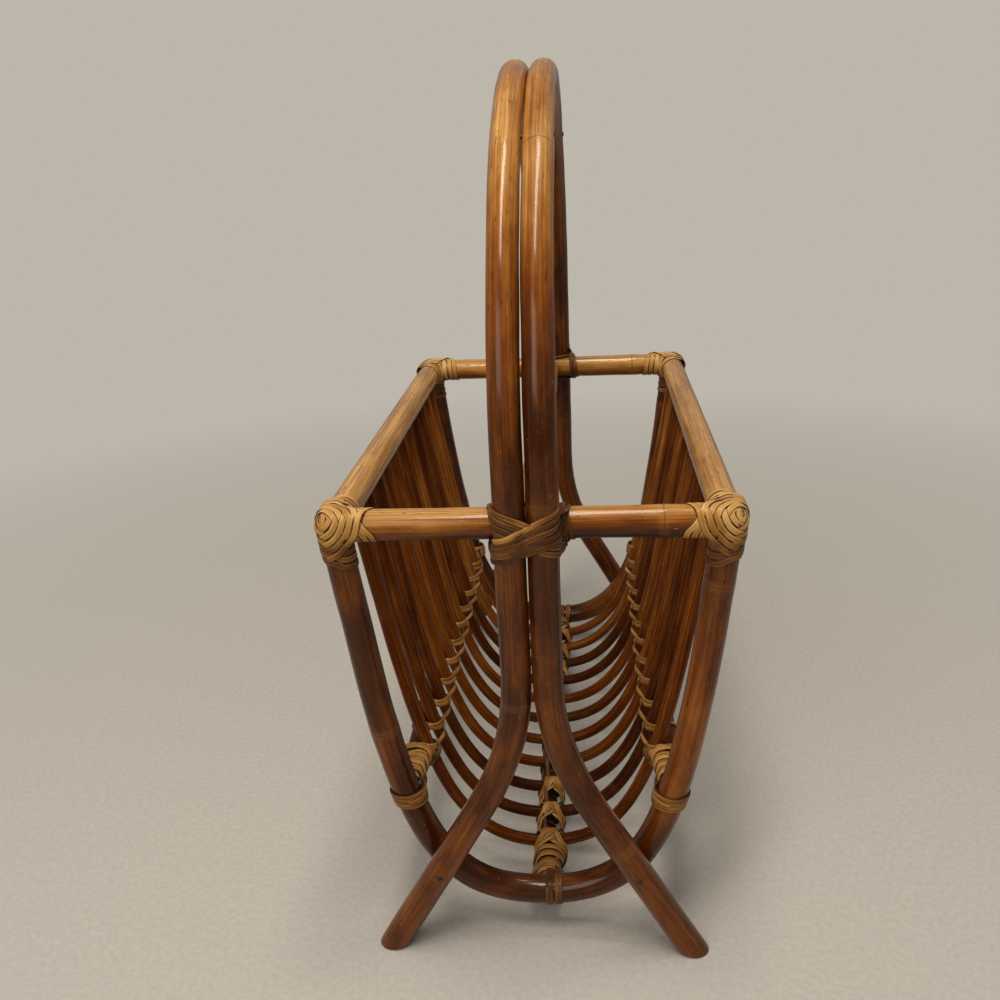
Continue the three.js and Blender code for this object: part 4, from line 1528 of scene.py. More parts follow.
@dataclass
class CornerBindings:
    """The turban bindings where a rail, a crossbar and an end frame meet.

    The strip goes across one outer face of the corner, three quarters round the next cane and
    across the next face, and each loop lies a little further out than the one before.
    """

    basket: Basket
    strip: StripSizes
    skin: Material
    loops: int = 5
    first: float = 4.6 * MM
    pitch: float = 4.5 * MM
    face_first: float = -2.1 * MM
    face_pitch: float = 2.55 * MM
    stray: float = 0.6 * MM
    tip_turns: float = 1.83
    # Degrees from the tip at which the snail starts and ends.
    tip_spread: Pair = (3, 34)
    tip_corners: float = 0.28
    tip_steps: int = 36
    tip_end: float = 5 / 6
    loop_arc: Pair = (15, 255)
    near: float = 60 * MM
    frame_from: float = 60 * MM
    frame_steps: int = 24
    # How the end frame goes from the corner: inward, and down.
    frame_lean: Pair = (20.7, 180.0)
    tone: float = 0.8
    # Painted shade: how far under the rim, as a share of the crossbar's radius, the strips start to darken,
    # over what depth, and by how much.
    shade_level: float = 0.5
    shade_depth: float = 7 * MM
    shade_share: float = 0.46

    def corner(self, side: Side, end: End) -> Array:
        """Where the middle lines of the three canes of a corner meet."""
        basket = self.basket
        return np.array([side.value * basket.half_width, end.value * basket.half_length, basket.rim_height])

    def canes(self, side: Side, end: End) -> Canes:
        """The three canes that meet at a corner, for the strip to lie on.

        Args:
            side: The side of the corner.
            end: The end of the corner.

        Returns:
            The middle line of each cane and half its thickness.
        """
        basket = self.basket
        corner = self.corner(side, end)
        inward = -side.value * X_AXIS
        bar_end = corner - inward * (basket.bar_reach - basket.half_width - basket.bar_radius)
        bar = np.array([bar_end, corner + inward * self.near])
        rail = np.array([corner, corner - end.value * Y_AXIS * self.near])
        frame = sample_knots(basket.end_line.knots(corner[1]), self.frame_steps)
        frame = frame[frame[:, 0] * side.value > self.frame_from]
        return [(bar, basket.bar_radius), (rail, basket.rail_radius), (frame, basket.end_radius)]

    def tip_way(self, corner: Array, axes: Way) -> Way:
        """The snail of strip round the outer tip of a corner, three cornered like the loops after it.

        Args:
            corner: Where the middle lines of the three canes meet.
            axes: The ways of the crossbar, the end frame and the rail from there.

        Returns:
            Points from the tip to the top of the crossbar.
        """
        tip = -unit(axes[0] + axes[1] + axes[2])
        zero = unit(-axes[2] + tip * (axes[2] @ tip))
        quarter = -axes[0] + tip * (axes[0] @ tip)
        quarter = unit(quarter - zero * (quarter @ zero))
        reach = self.basket.bar_radius + WAY_LIFT
        way = []
        for step in range(self.tip_steps + 1):
            turned = self.tip_turns * step / self.tip_steps - (self.tip_turns - self.tip_end)
            turned = 2 * math.pi * turned
            spread = self.tip_spread[0]
            spread += (self.tip_spread[1] - self.tip_spread[0]) * step / self.tip_steps
            spread = math.radians(spread * (1 - self.tip_corners * math.cos(3 * turned)))
            side = zero * math.cos(turned) + quarter * math.sin(turned)
            way.append(corner + (tip * math.cos(spread) + side * math.sin(spread)) * reach)
        return way

    def way(self, side: Side, end: End, draw: random.Random) -> Way:
        """The way of the strip round one corner.

        Args:
            side: The side of the corner.
            end: The end of the corner.
            draw: The chance by which the loops stray.

        Returns:
            Points from the tip to the last loop.
        """
        basket = self.basket
        corner = self.corner(side, end)
        down = unit(np.array([-side.value * self.frame_lean[0], 0, -self.frame_lean[1]]))
        axes = [-side.value * X_AXIS, down, -end.value * Y_AXIS]
        radii = [basket.bar_radius, basket.end_radius, basket.rail_radius]
        way = self.tip_way(corner, axes)
        for loop in range(self.loops):
            along = self.first + self.pitch * loop
            middle = self.face_first + self.face_pitch * loop
            for index in range(3):
                before, here, after = (axes[(index + turn) % 3] for turn in (-1, 0, 1))
                if loop or index:
                    leg = Leg(corner, here, -before, after, radii[index])
                    place = along + draw.uniform(-1, 1) * self.stray
                    way += leg.arc((place, place), self.loop_arc)
                way.append(corner - before * (radii[index] + WAY_LIFT) + (here + after) * middle)
        return way

    def build(self) -> None:
        """Binds the four corners."""
        for end in End:
            for side in Side:
                name = f"{end.name.lower()}_{side.name.lower()}"
                draw = random.Random(f"corner {name}")
                winding = Winding(self.canes(side, end), self.strip)
                winding.lay(self.way(side, end, draw), self.tone)
                # The strips are darkened under the rim as painted shade.
                level = self.basket.rim_height - self.basket.bar_radius * self.shade_level
                seed = Seed.CORNER.value + 4 * end.value + side.value
                shade_paint = (level, self.shade_depth, self.shade_share)
                piece = winding.mesh(f"corner_wrap_{name}", seed, shade_paint)
                install(piece, self.skin, Slot.STRIP, f"corner_binding_{name}")


@dataclass
class HoopLashings:
    """The crossed lashings that hold the pair of hoops against the crossbars."""

    basket: Basket
    hoops: Hoops
    strip: StripSizes
    skin: Material
    # Heights over the rim of the turns that lie under, and of those that lie over them.
    under: Row = (9 * MM, 5 * MM, 1 * MM, -3 * MM)
    over: Row = (6.5 * MM, 3 * MM, -0.5 * MM, -4 * MM, -7.5 * MM)
    fall: float = 16 * MM
    climb: float = 20 * MM
    beside: float = 18.8 * MM
    spacing: float = 0.6 * MM
    frapping: Row = (22.6 * MM, 19.4 * MM)
    slant_loss: float = 0.07
    # Behind the crossbar: shares of how far out the turns pass it, and angles round it.
    back_steps: Pairs = ((1, 75), (0.7, 100), (0, 118), (-0.6, 150), (-0.85, 200), (-1, 250), (-1, 285))
    back_lift: float = 1.2 * MM
    # How far the upright turns beside the hoops lean, and the two arcs that each is made of.
    frapping_lean: Pair = (1 * MM, 2 * MM)
    frapping_arcs: tuple[Pair, ...] = ((75, 285), (285, 435))
    last_arc: Pair = (75, 280)
    last_lean: float = 3 * MM
    turn_back: float = 100
    tones: tuple[float, float, float] = (0.28, 0.66, 0.16)
    near: float = 60 * MM
    hoop_span: Pair = (50 * MM, 27 * MM)

    def canes(self, end: End) -> Canes:
        """The hoops, the crossbar and the centre rail near a lashing.

        Args:
            end: The end of the basket.

        Returns:
            The middle line of each cane and half its thickness.
        """
        basket, hoops = self.basket, self.hoops
        middle = np.array([0, end.value * basket.half_length, basket.rim_height])
        canes = [
            (np.array([middle - X_AXIS * self.near, middle + X_AXIS * self.near]), basket.bar_radius),
            (np.array([middle, middle - end.value * Y_AXIS * self.near]), basket.centre_radius),
        ]
        below, above = (Z_AXIS * part for part in self.hoop_span)
        for side in Side:
            foot = np.array([side.value * hoops.half_spacing, end.value * hoops.plane, basket.rim_height])
            canes.append((np.array([foot - below, foot + above]), hoops.radius))
        return canes

    def across(self, end: End, middle: float, rise: float) -> Way:
        """A slanting pass over the front of both hoops, from left to right.

        Args:
            end: The end of the basket.
            middle: Its height over the rim at the middle.
            rise: How far it rises over the width of the hoops.

        Returns:
            Four points from left to right.
        """
        hoops, rim = self.hoops, self.basket.rim_height
        side = end.value * hoops.plane
        front = end.value * (hoops.plane + hoops.radius + WAY_LIFT)
        half = hoops.half_spacing + hoops.radius + WAY_LIFT
        places = [(-half, side), (-hoops.half_spacing, front), (hoops.half_spacing, front), (half, side)]
        return [np.array([x, y, rim + middle + rise * x / (2 * half)]) for x, y in places]

    def behind(self, bar: Leg, over: float, spread: float) -> Way:
        """A pass behind the crossbar from right to left, over or under the centre rail."""
        out = self.beside + spread
        return [bar.at(share * out, over * degrees, self.back_lift) for share, degrees in self.back_steps]

    def ways(self, end: End) -> list[tuple[Way, float]]:
        """The falling turns, then the rising turns over them.

        Args:
            end: The end of the basket.

        Returns:
            For each strip its way and its tone.
        """
        centre = np.array([0, end.value * self.basket.half_length, self.basket.rim_height])
        bar = Leg(centre, X_AXIS, end.value * Y_AXIS, Z_AXIS, self.basket.bar_radius)
        lower = []
        for index, middle in enumerate(self.under):
            lower += self.across(end, middle, -self.fall)
            lower += self.behind(bar, -1, index * self.spacing)
        ways = [(lower, self.tones[0])]
        way = []
        for index, middle in enumerate(self.over):
            way += self.across(end, middle, self.climb * (1 - self.slant_loss * index))
            if 0 < index <= len(self.frapping):
                place, (start, lean) = self.frapping[index - 1], self.frapping_lean
                way += bar.arc((place - start, place + lean), self.frapping_arcs[0])
                way += bar.arc((place + lean, place - lean), self.frapping_arcs[1])
            if index == 0:
                ways.append((way, self.tones[1]))
                way = [bar.at(self.beside, self.turn_back)]
            back = self.behind(bar, 1, index * self.spacing)
            way += back
        way = way[: -len(back)]
        way += bar.arc((self.beside, self.beside + self.last_lean), self.last_arc)
        return ways + [(way, self.tones[2])]

    def build(self) -> None:
        """Lashes the hoops at both ends."""
        for end in End:
            winding = Winding(self.canes(end), self.strip)
            for way, tone in self.ways(end):
                winding.lay(way, tone)
            seed = Seed.HOOP_LASHING.value + 3 * end.value
            piece = winding.mesh(f"hoop_wrap_{end.name.lower()}", seed)
            install(piece, self.skin, Slot.STRIP, f"hoop_lashing_{end.name.lower()}")


@dataclass
class Crossing:
    """Where a rib crosses a stringer.

    Attributes:
        middle: The middle of the rib.
        out: The way from there to the stringer.
        up: The way up the rib.
        spacing: How far the middle of the stringer is.
    """

    middle: Array
    out: Array
    up: Array
    spacing: float

    def at(self, out: float, along: float, up: float) -> Array:
        """A point counted from the middle of the rib."""
        return self.middle + self.out * out + Y_AXIS * along + self.up * up


# One turn round a rib and its stringer, from the rib's inside back to it. A row says how far out a
# point lies, in half ribs, half stringers and spacings, how far along, in half ribs, and how far
# up, in half stringers and shifts.
TURN_STEPS = (
    (-1, 0, 0, 0, 0, 1),
    (-0.7, 0, 0, -0.7, 0, 1),
    (0, 0, 0, -1, 0, 1),
    (0.8, 0, 0, -1, 0, 1),
    (0, 0, 0.75, -1, 0.8, 0.5),
    (0, 0, 1, -0.9, 1, 0),
    (0, 0.75, 1, -0.5, 0.75, 0),
    (0, 1, 1, 0, 0, 0),
    (0, 0.75, 1, 0.5, -0.75, 0),
    (0, 0, 1, 0.9, -1, 0),
    (0, 0, 0.75, 1, -0.8, 0.5),
    (0.8, 0, 0, 1, 0, 1),
    (0, 0, 0, 1, 0, 1),
    (-0.7, 0, 0, 0.7, 0, 1),
)


@dataclass
class ChainLashings:
    """The three chains that tie every rib to a stringer, two turns round each crossing."""

    basket: Basket
    strip: StripSizes
    skin: Material
    turns: int = 2
    slack: float = 3.4 * MM
    bottom_slack: float = -8 * MM
    # In strip widths: how far apart the turns are, and how low the strip leaves for the next rib.
    turn_share: float = 0.95
    run_share: float = 0.4
    run_side: float = 0.7
    tone: float = 0.58
    bottom_tone: float = 0.1
    near: float = 40 * MM
    rib_steps: int = 40

    def stringers(self) -> dict[str, Array]:
        """The middle of each stringer, by its name."""
        return {name: np.array(centre) for name, centre in self.basket.stringers().items()}

    def crossing(self, name: str, y: float) -> Crossing:
        """The crossing of the rib at a place along the basket with a stringer.

        Args:
            name: The stringer.
            y: The place.

        Returns:
            The crossing.
        """
        centre = self.stringers()[name] + Y_AXIS * y
        line = sample_knots(self.basket.rib_line.knots(y), GUIDE_STEPS)
        index = int(np.linalg.norm(line - centre, axis=1).argmin())
        up = unit(line[min(index + 1, len(line) - 1)] - line[index - 1])
        up = up if up[2] > 0 or name == "bottom" else -up
        span = centre - line[index]
        return Crossing(line[index], unit(span), up, float(np.linalg.norm(span)))

    def canes(self, name: str) -> Canes:
        """The stringer and the ribs near it.

        Args:
            name: The stringer.

        Returns:
            The middle line of each cane and half its thickness.
        """
        basket = self.basket
        centre = self.stringers()[name]
        reach = Y_AXIS * basket.half_length
        canes = [(np.array([centre - reach, centre + reach]), basket.stringer_radius)]
        for y in basket.rib_places():
            line = sample_knots(basket.rib_line.knots(y), self.rib_steps)
            near = np.linalg.norm(line[:, (0, 2)] - centre[[0, 2]], axis=1) < self.near
            canes.append((line[near], basket.rib_radius))
        return canes

    def around(self, crossing: Crossing, shift: float) -> Way:
        """One turn round a rib and its stringer, from the rib's inside back to it.

        Args:
            crossing: Where the two cross.
            shift: How far up the rib the turn lies.

        Returns:
            The points in their order.
        """
        rib = self.basket.rib_radius + WAY_LIFT
        stringer = self.basket.stringer_radius + WAY_LIFT
        return [
            crossing.at(a * rib + b * stringer + c * crossing.spacing, d * rib, e * stringer + f * shift)
            for a, b, c, d, e, f in TURN_STEPS
        ]

    def way(self, name: str) -> Way:
        """The way of a chain's strip, from the rear rib to the front rib.

        Args:
            name: The stringer.

        Returns:
            The points in their order.
        """
        way = []
        rib = self.basket.rib_radius + WAY_LIFT
        low = -self.strip.width * self.run_share
        slack = self.bottom_slack if name == "bottom" else self.slack
        for y in reversed(self.basket.rib_places()):
            crossing = self.crossing(name, y)
            for turn in range(self.turns):
                shift = (turn - (self.turns - 1) / 2) * -self.strip.width * self.turn_share
                way += self.around(crossing, shift)
            way.append(crossing.at(-rib, 0, low))
            way.append(crossing.at(-rib, -rib * self.run_side, low))
            way.append(crossing.at(-rib - slack, -self.basket.rib_pitch / 2, 0))
        return way[:-1]

    def build(self) -> dict[str, Winding]:
        """Lashes every rib to the three stringers.

        Returns:
            The winding of each chain by its stringer's name.
        """
        windings = {}
        for index, name in enumerate(self.stringers()):
            winding = Winding(self.canes(name), self.strip)
            winding.lay(self.way(name), self.bottom_tone if name == "bottom" else self.tone)
            piece = winding.mesh(f"chain_wrap_{name}", Seed.CHAIN.value + 5 * index)
            install(piece, self.skin, Slot.STRIP, f"chain_lashing_{name}")
            windings[name] = winding
        return windings


@dataclass
class EndLashings:
    """The lashings that tie the ends of the stringers to the end frames."""

    basket: Basket
    chains: ChainLashings
    strip: StripSizes
    skin: Material
    tone: float = 0.5
    turns_start: float = 3 * MM
    pitch: float = 3.5 * MM
    close_turns: int = 8
    bulge: float = 8.5 * MM
    core_radius: float = 4 * MM
    core_angle: float = 180
    core_shift: float = 2 * MM
    fan: Row = (13 * MM, 17 * MM, 36 * MM, 29.5 * MM, 23 * MM, 16.5 * MM)
    fan_arc: Pair = (-80, 150)
    fan_lean: float = 2 * MM
    # A loop comes back at this share of its place, at this angle, over this share of the bulge.
    fan_back: tuple[float, float, float] = (0.7, 200, 0.6)
    # Where the last loop goes, and its bulge.
    fan_end: Pair = (12 * MM, 2 * MM)
    post_pitch: float = 3.1 * MM
    post_turns: int = 3
    post_arc: Pair = (5, 215)
    post_lean: float = 0.5 * MM
    post_end: Pair = (2 * MM, 4 * MM)
    post_end_arc: Pair = (5, 90)
    knob_start: float = 2 * MM
    knob_shift: float = 4.2 * MM
    core_height: float = 25.2 * MM
    neck_radius: float = 6.4 * MM
    neck_length: float = 12 * MM
    knob_turns: int = 8
    knob_pitch: float = 3 * MM
    knob_radii: Row = (8.8 * MM, 7.4 * MM, 6.8 * MM)
    knob_growth: float = 14 * MM
    knob_past: float = 3 * MM
    knob_tone: float = 0.44
    straps: Row = (4.9 * MM, 10.9 * MM)
    strap_width: float = 4.7 * MM
    strap_tuck: float = 7 * MM
    strap_sink: float = 0.5 * MM
    strap_arc: Pair = (115, -150)
    strap_return: float = 0.4
    strap_end: float = 4 * MM
    strap_tone: float = 0.14
    cross_reach: float = 8 * MM
    cross_shifts: Row = (-3.2 * MM, 0, 3.2 * MM)
    cross_corner: float = 3 * MM
    cross_angles: tuple[float, float, float] = (40, 90, 140)
    cross_lift: float = 2 * MM
    cross_tone: float = 0.54
    frame_near: float = 70 * MM
    frame_steps: int = 60
    stringer_near: float = 150 * MM
    ribs_near: float = 125 * MM

    def stringer_leg(self, name: str, end: End) -> Leg:
        """The stretch of a stringer that starts at an end frame's middle.

        Args:
            name: The stringer.
            end: The end of the basket.

        Returns:
            The stretch, with its outer side at zero.
        """
        centre = self.chains.stringers()[name] + Y_AXIS * end.value * self.basket.half_length
        outward = {"left": -X_AXIS, "right": X_AXIS, "bottom": X_AXIS}[name]
        return Leg(centre, -end.value * Y_AXIS, outward, Z_AXIS, self.basket.stringer_radius)

    def frame_line(self, end: End) -> Array:
        """The middle line of an end frame."""
        knots = self.basket.end_line.knots(end.value * self.basket.half_length)
        return sample_knots(knots, self.frame_steps)

    def canes(self, name: str, end: End) -> Canes:
        """The stringer, the ribs and the part of the end frame near a lashing.

        Args:
            name: The stringer.
            end: The end of the basket.

        Returns:
            The middle line of each cane and half its thickness, and then the cores.
        """
        leg = self.stringer_leg(name, end)
        frame = self.frame_line(end)
        near = np.linalg.norm(frame - leg.origin, axis=1) < self.frame_near
        canes = [(frame[near], self.basket.end_radius)]
        for line, radius in self.chains.canes(name):
            if radius == self.basket.stringer_radius:
                start = leg.origin + leg.axis * self.basket.end_radius
                canes.append((np.array([start, start + leg.axis * self.stringer_near]), radius))
            elif np.abs(line[:, 1] - leg.origin[1]).min() < self.ribs_near:
                canes.append((line, radius))
        return canes + self.cores(name, end)

    def first_crossing(self, name: str, end: End) -> Crossing:
        """The crossing of the rib that is next to an end frame with a stringer."""
        return self.chains.crossing(name, end.value * self.basket.rib_places()[-1])

    def cores(self, name: str, end: End) -> Canes:
        """The slack in the middle of a lashing, as round bodies that the strips lie on.

        Args:
            name: The stringer.
            end: The end of the basket.

        Returns:
            The middle line of each body and half its thickness.
        """
        leg = self.stringer_leg(name, end)
        first = leg.origin + leg.axis * (self.basket.end_radius + WAY_LIFT)
        if name != "bottom":
            start = first - leg.zero * self.core_shift
            return [(np.array([start, self.first_crossing(name, end).middle]), self.core_radius)]
        lift = self.knob_lift(leg)
        neck = np.array([first + lift, first + lift + leg.axis * self.neck_length])
        cores = [(neck + leg.axis * self.neck_radius, self.neck_radius)]
        for middle, radius in zip(self.rib_distances(), self.knob_radii):
            centre = leg.origin + lift + leg.axis * middle
            line = np.array([centre - leg.axis * radius, centre + leg.axis * self.knob_past])
            cores.append((line, radius))
        return cores

    def knob_lift(self, bar: Leg) -> Array:
        """How far the middle of the knob is from that of the bottom stringer."""
        return Z_AXIS * (self.core_height - bar.origin[2]) + X_AXIS * self.knob_shift

    def rib_distances(self) -> list[float]:
        """How far the first three ribs are from the middle of an end frame."""
        first = self.basket.half_length - abs(self.basket.rib_places()[0])
        return [first + index * self.basket.rib_pitch for index in range(len(self.knob_radii))]

    def round_bundle(self, bar: Leg, along: Pair, degrees: Pair, bulge: float) -> Way:
        """Points round a stringer and the core beside it.

        Args:
            bar: The stringer.
            along: Where the points start and end along it.
            degrees: The angles round it where they start and end.
            bulge: How far the core stands out there.

        Returns:
            The points in their order.
        """
        way = []
        for share in arc_shares(degrees):
            angle = between(degrees, share)
            towards = max(0.0, math.cos(math.radians(angle - self.core_angle)))
            way.append(bar.at(between(along, share), angle, WAY_LIFT + bulge * towards))
        return way

    def side_way(self, name: str, end: End) -> Way:
        """Close turns on the stringer, then a fan of loops round it and the end frame.

        Args:
            name: The stringer.
            end: The end of the basket.

        Returns:
            The points in their order.
        """
        bar = self.stringer_leg(name, end)
        line = self.frame_line(end)
        index = int(np.linalg.norm(line - bar.origin, axis=1).argmin())
        down = unit(line[index + 1] - line[index - 1])
        down = -down if down[2] > 0 else down
        post = Leg(line[index], down, -bar.zero, end.value * Y_AXIS, self.basket.end_radius)
        crossing = self.first_crossing(name, end)
        reach = float(abs(crossing.middle[1] - bar.origin[1]))
        first = self.basket.end_radius + self.turns_start
        way = []
        for turn in range(self.close_turns):
            place = first + turn * self.pitch
            bulge = self.bulge * (place + self.pitch / 2) / reach
            way += self.round_bundle(bar, (place, place + self.pitch), (0, 360), bulge)
        for shift in (0.5, -0.5):
            way += self.chains.around(crossing, shift * self.strip.width)
        share, angle, lift = self.fan_back
        for turn, place in enumerate(self.fan):
            drop = self.post_pitch * ((len(self.fan) - 1 - turn) % self.post_turns)
            bulge = self.bulge * place / reach
            way += self.round_bundle(bar, (place + self.fan_lean, place), self.fan_arc, bulge)
            way.append(bar.at(place * share, angle, WAY_LIFT + bulge * lift))
            way += post.arc((drop, drop + self.post_lean), self.post_arc)
        place, bulge = self.fan_end
        way += self.round_bundle(bar, (place, place), self.fan_arc, bulge)
        way += post.arc(self.post_end, self.post_end_arc)
        return way

    def bottom_ways(self, end: End) -> list[tuple[Way, float, float]]:
        """Straps over the end frame, turns that make a knob, and crosses over three ribs.

        Args:
            end: The end of the basket.

        Returns:
            For each strip its way, its tone and its width.
        """
        usual = self.strip.width
        return [
            (self.strap_way(end), self.strap_tone, self.strap_width),
            (self.knob_way(end), self.knob_tone, usual),
            (self.cross_way(end), self.cross_tone, usual),
        ]

    def strap_way(self, end: End) -> Way:
        """The two straps, from the knob over the end frame and back under the stringer.

        Args:
            end: The end of the basket.

        Returns:
            The points in their order.
        """
        bar = self.stringer_leg("bottom", end)
        middle = bar.origin + Z_AXIS * (self.basket.end_line.low - bar.origin[2])
        frame = Leg(middle, X_AXIS, end.value * Y_AXIS, Z_AXIS, self.basket.end_radius)
        start = bar.origin + bar.axis * (self.basket.end_radius + self.knob_start + self.strap_tuck)
        rise = Z_AXIS * (self.core_height - bar.origin[2])
        way = []
        for place in self.straps:
            across = X_AXIS * place
            way.append(start + across + rise + Z_AXIS * (self.neck_radius - self.strap_sink))
            way += frame.arc((place, place), self.strap_arc)
            way.append(start + across * self.strap_return - Z_AXIS * (bar.radius + WAY_LIFT))
            way.append(start + bar.axis * self.strap_end - X_AXIS * (bar.radius + WAY_LIFT))
        return way

    def knob_way(self, end: End) -> Way:
        """The turns that make the knob, wider from the neck on.

        Args:
            end: The end of the basket.

        Returns:
            The points in their order.
        """
        bar = self.stringer_leg("bottom", end)
        lift = self.knob_lift(bar)
        first = self.basket.end_radius + self.knob_start
        grows = (first, first + self.knob_growth)
        way = []
        for turn in range(self.knob_turns):
            place = first + turn * self.knob_pitch
            grown = float(np.interp(place, grows, (self.neck_radius, self.knob_radii[0])))
            knob = Leg(bar.origin + lift, bar.axis, X_AXIS, Z_AXIS, grown)
            way += knob.arc((place, place + self.knob_pitch), (0, 360))
        return way

    def cross_way(self, end: End) -> Way:
        """The crosses over the first three ribs.

        Args:
            end: The end of the basket.

        Returns:
            The points in their order.
        """
        bar = self.stringer_leg("bottom", end)
        lift = self.knob_lift(bar)
        start, top, stop = self.cross_angles
        way = []
        for middle, radius in zip(self.rib_distances(), self.knob_radii):
            knob = Leg(bar.origin + lift, bar.axis, X_AXIS, Z_AXIS, radius)
            for shift in self.cross_shifts:
                near, far = middle + shift - self.cross_reach, middle + shift + self.cross_reach
                inner, outer = near + self.cross_corner, far - self.cross_corner
                over = knob.at(middle + shift, top, self.cross_lift)
                way += [knob.at(near, 0), knob.at(inner, start), over, knob.at(outer, stop)]
                way += knob.arc((far, far), (180, 360))
                way += [knob.at(outer, start), over, knob.at(inner, stop)]
                way += knob.arc((near, near), (180, 360))
        return way

    def build(self, under: dict[str, Winding]) -> None:
        """Ties the six ends of the stringers.

        Args:
            under: The windings of the chains, which these lie over.
        """
        for end in End:
            for name in self.chains.stringers():
                winding = Winding(self.canes(name, end), self.strip)
                winding.lie_over(under[name])
                if name == "bottom":
                    for way, tone, width in self.bottom_ways(end):
                        winding.lay(way, tone, width)
                else:
                    winding.lay(self.side_way(name, end), self.tone)
                label = f"{end.name.lower()}_{name}"
                seed = Seed.END_LASHING.value + 7 * end.value + len(name)
                piece = winding.mesh(f"end_wrap_{label}", seed)
                install(piece, self.skin, Slot.STRIP, f"end_lashing_{label}")


@dataclass
class Nails:
    """The nails and brads that hold the canes where they cross."""

    basket: Basket
    hoops: Hoops
    skin: Material
    radius: float = 1.1 * MM
    head_radius: float = 1.9 * MM
    head_height: float = 0.55 * MM
    bite: float = 14 * MM
    brad_bite: float = 12 * MM
    stagger: float = 3 * MM
    shoulder: float = math.radians(35)
    leg_crossing: Pair = (60.5 * MM, 58 * MM)
    sides: int = 16
    head_rings: int = 12

    def drive(self, name: str, seat: Vector, way: Vector, length: float) -> None:
        """Builds one nail and puts it in its place.

        Args:
            name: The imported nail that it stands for.
            seat: Where the underside of its head sits.
            way: The way it is driven.
            length: Its length under the head.
        """
        deselect_all()
        headless = name.startswith("centre_rail_brad")
        bpy.ops.mesh.primitive_cylinder_add(
            vertices=self.sides,
            radius=self.radius,
            depth=length,
            location=(0, 0, length / 2),
            end_fill_type="NGON",
        )
        nail = bpy.context.active_object
        if not headless:
            bpy.ops.mesh.primitive_uv_sphere_add(
                segments=2 * self.head_rings, ring_count=self.head_rings, radius=self.head_radius
            )
            bpy.ops.transform.resize(value=(1, 1, self.head_height / self.head_radius))
            nail.select_set(True)
            bpy.context.view_layer.objects.active = nail
            bpy.ops.object.join()
        make_active(nail)
        bpy.ops.object.transform_apply(location=True, rotation=True, scale=True)
        nail.name = f"{name}_steel"
        turn = way.to_track_quat("Z", "Y").to_matrix().to_4x4()
        nail.data.transform(Matrix.Translation(seat) @ turn)
        bpy.ops.object.shade_smooth_by_angle(angle=CREASE)
        install(nail, self.skin, Slot.STEEL, name)

    def build(self) -> None:
        """Drives every nail and brad."""
        basket, hoops, gap = self.basket, self.hoops, self.basket.seat_gap
        for end in End:
            inward = Vector((0, -end.value, 0))
            y = end.value * basket.half_length
            lift = basket.bar_radius + gap
            front = end.value * (hoops.plane + hoops.radius)
            label = end.name.lower()
            for side in Side:
                place = f"{label}_{side.name.lower()}"
                length = 2 * basket.bar_radius + gap + self.bite
                across = side.value * (basket.half_width - self.stagger)
                seat = Vector((across, y, basket.rim_height + lift))
                self.drive(f"post_nail_{place}", seat, Vector((0, 0, -1)), length)
                across = side.value * (basket.half_width + self.stagger)
                seat = Vector((across, y + end.value * lift, basket.rim_height))
                self.drive(f"rail_nail_{place}", seat, inward, length)
                length = 2 * hoops.radius + 2 * gap + self.bite
                seat = Vector((side.value * hoops.half_spacing, front, basket.rim_height))
                self.drive(f"hoop_nail_{place}", seat, inward, length)
                seat = Vector((side.value * self.leg_crossing[0], front, self.leg_crossing[1]))
                self.drive(f"leg_nail_{place}", seat, inward, length)
            across = hoops.half_spacing + hoops.radius
            rise = hoops.arch_spring + (hoops.top - hoops.arch_spring) * math.cos(self.shoulder)
            seat = Vector((across, end.value * hoops.plane * math.sin(self.shoulder), rise))
            length = 2 * hoops.radius + gap + self.bite
            self.drive(f"shoulder_nail_{label}", seat, Vector((-1, 0, 0)), length)
            reach = basket.half_length + basket.bar_radius - 2 * self.radius
            seat = Vector((0, end.value * reach, basket.rim_height))
            length = 2 * basket.bar_radius - 2 * self.radius + self.brad_bite
            self.drive(f"centre_rail_brad_{label}", seat, inward, length)


@dataclass(frozen=True)
class Lamp:
    """A soft rectangular lamp."""

    name: str
    place: tuple[float, float, float]
    aim: tuple[float, float, float]
    size: Pair
    power: float

    def build(self) -> None:
        """Hangs the lamp."""
        deselect_all()
        bpy.ops.object.light_add(type="AREA", location=self.place)
        lamp = bpy.context.active_object
        lamp.name = self.name
        lamp.data.shape = "RECTANGLE"
        lamp.data.size, lamp.data.size_y = self.size
        lamp.data.energy = self.power
        lamp.data.color = srgb(255, 250, 242)
        way = Vector(self.aim) - Vector(self.place)
        lamp.rotation_euler = way.to_track_quat("-Z", "Y").to_euler()


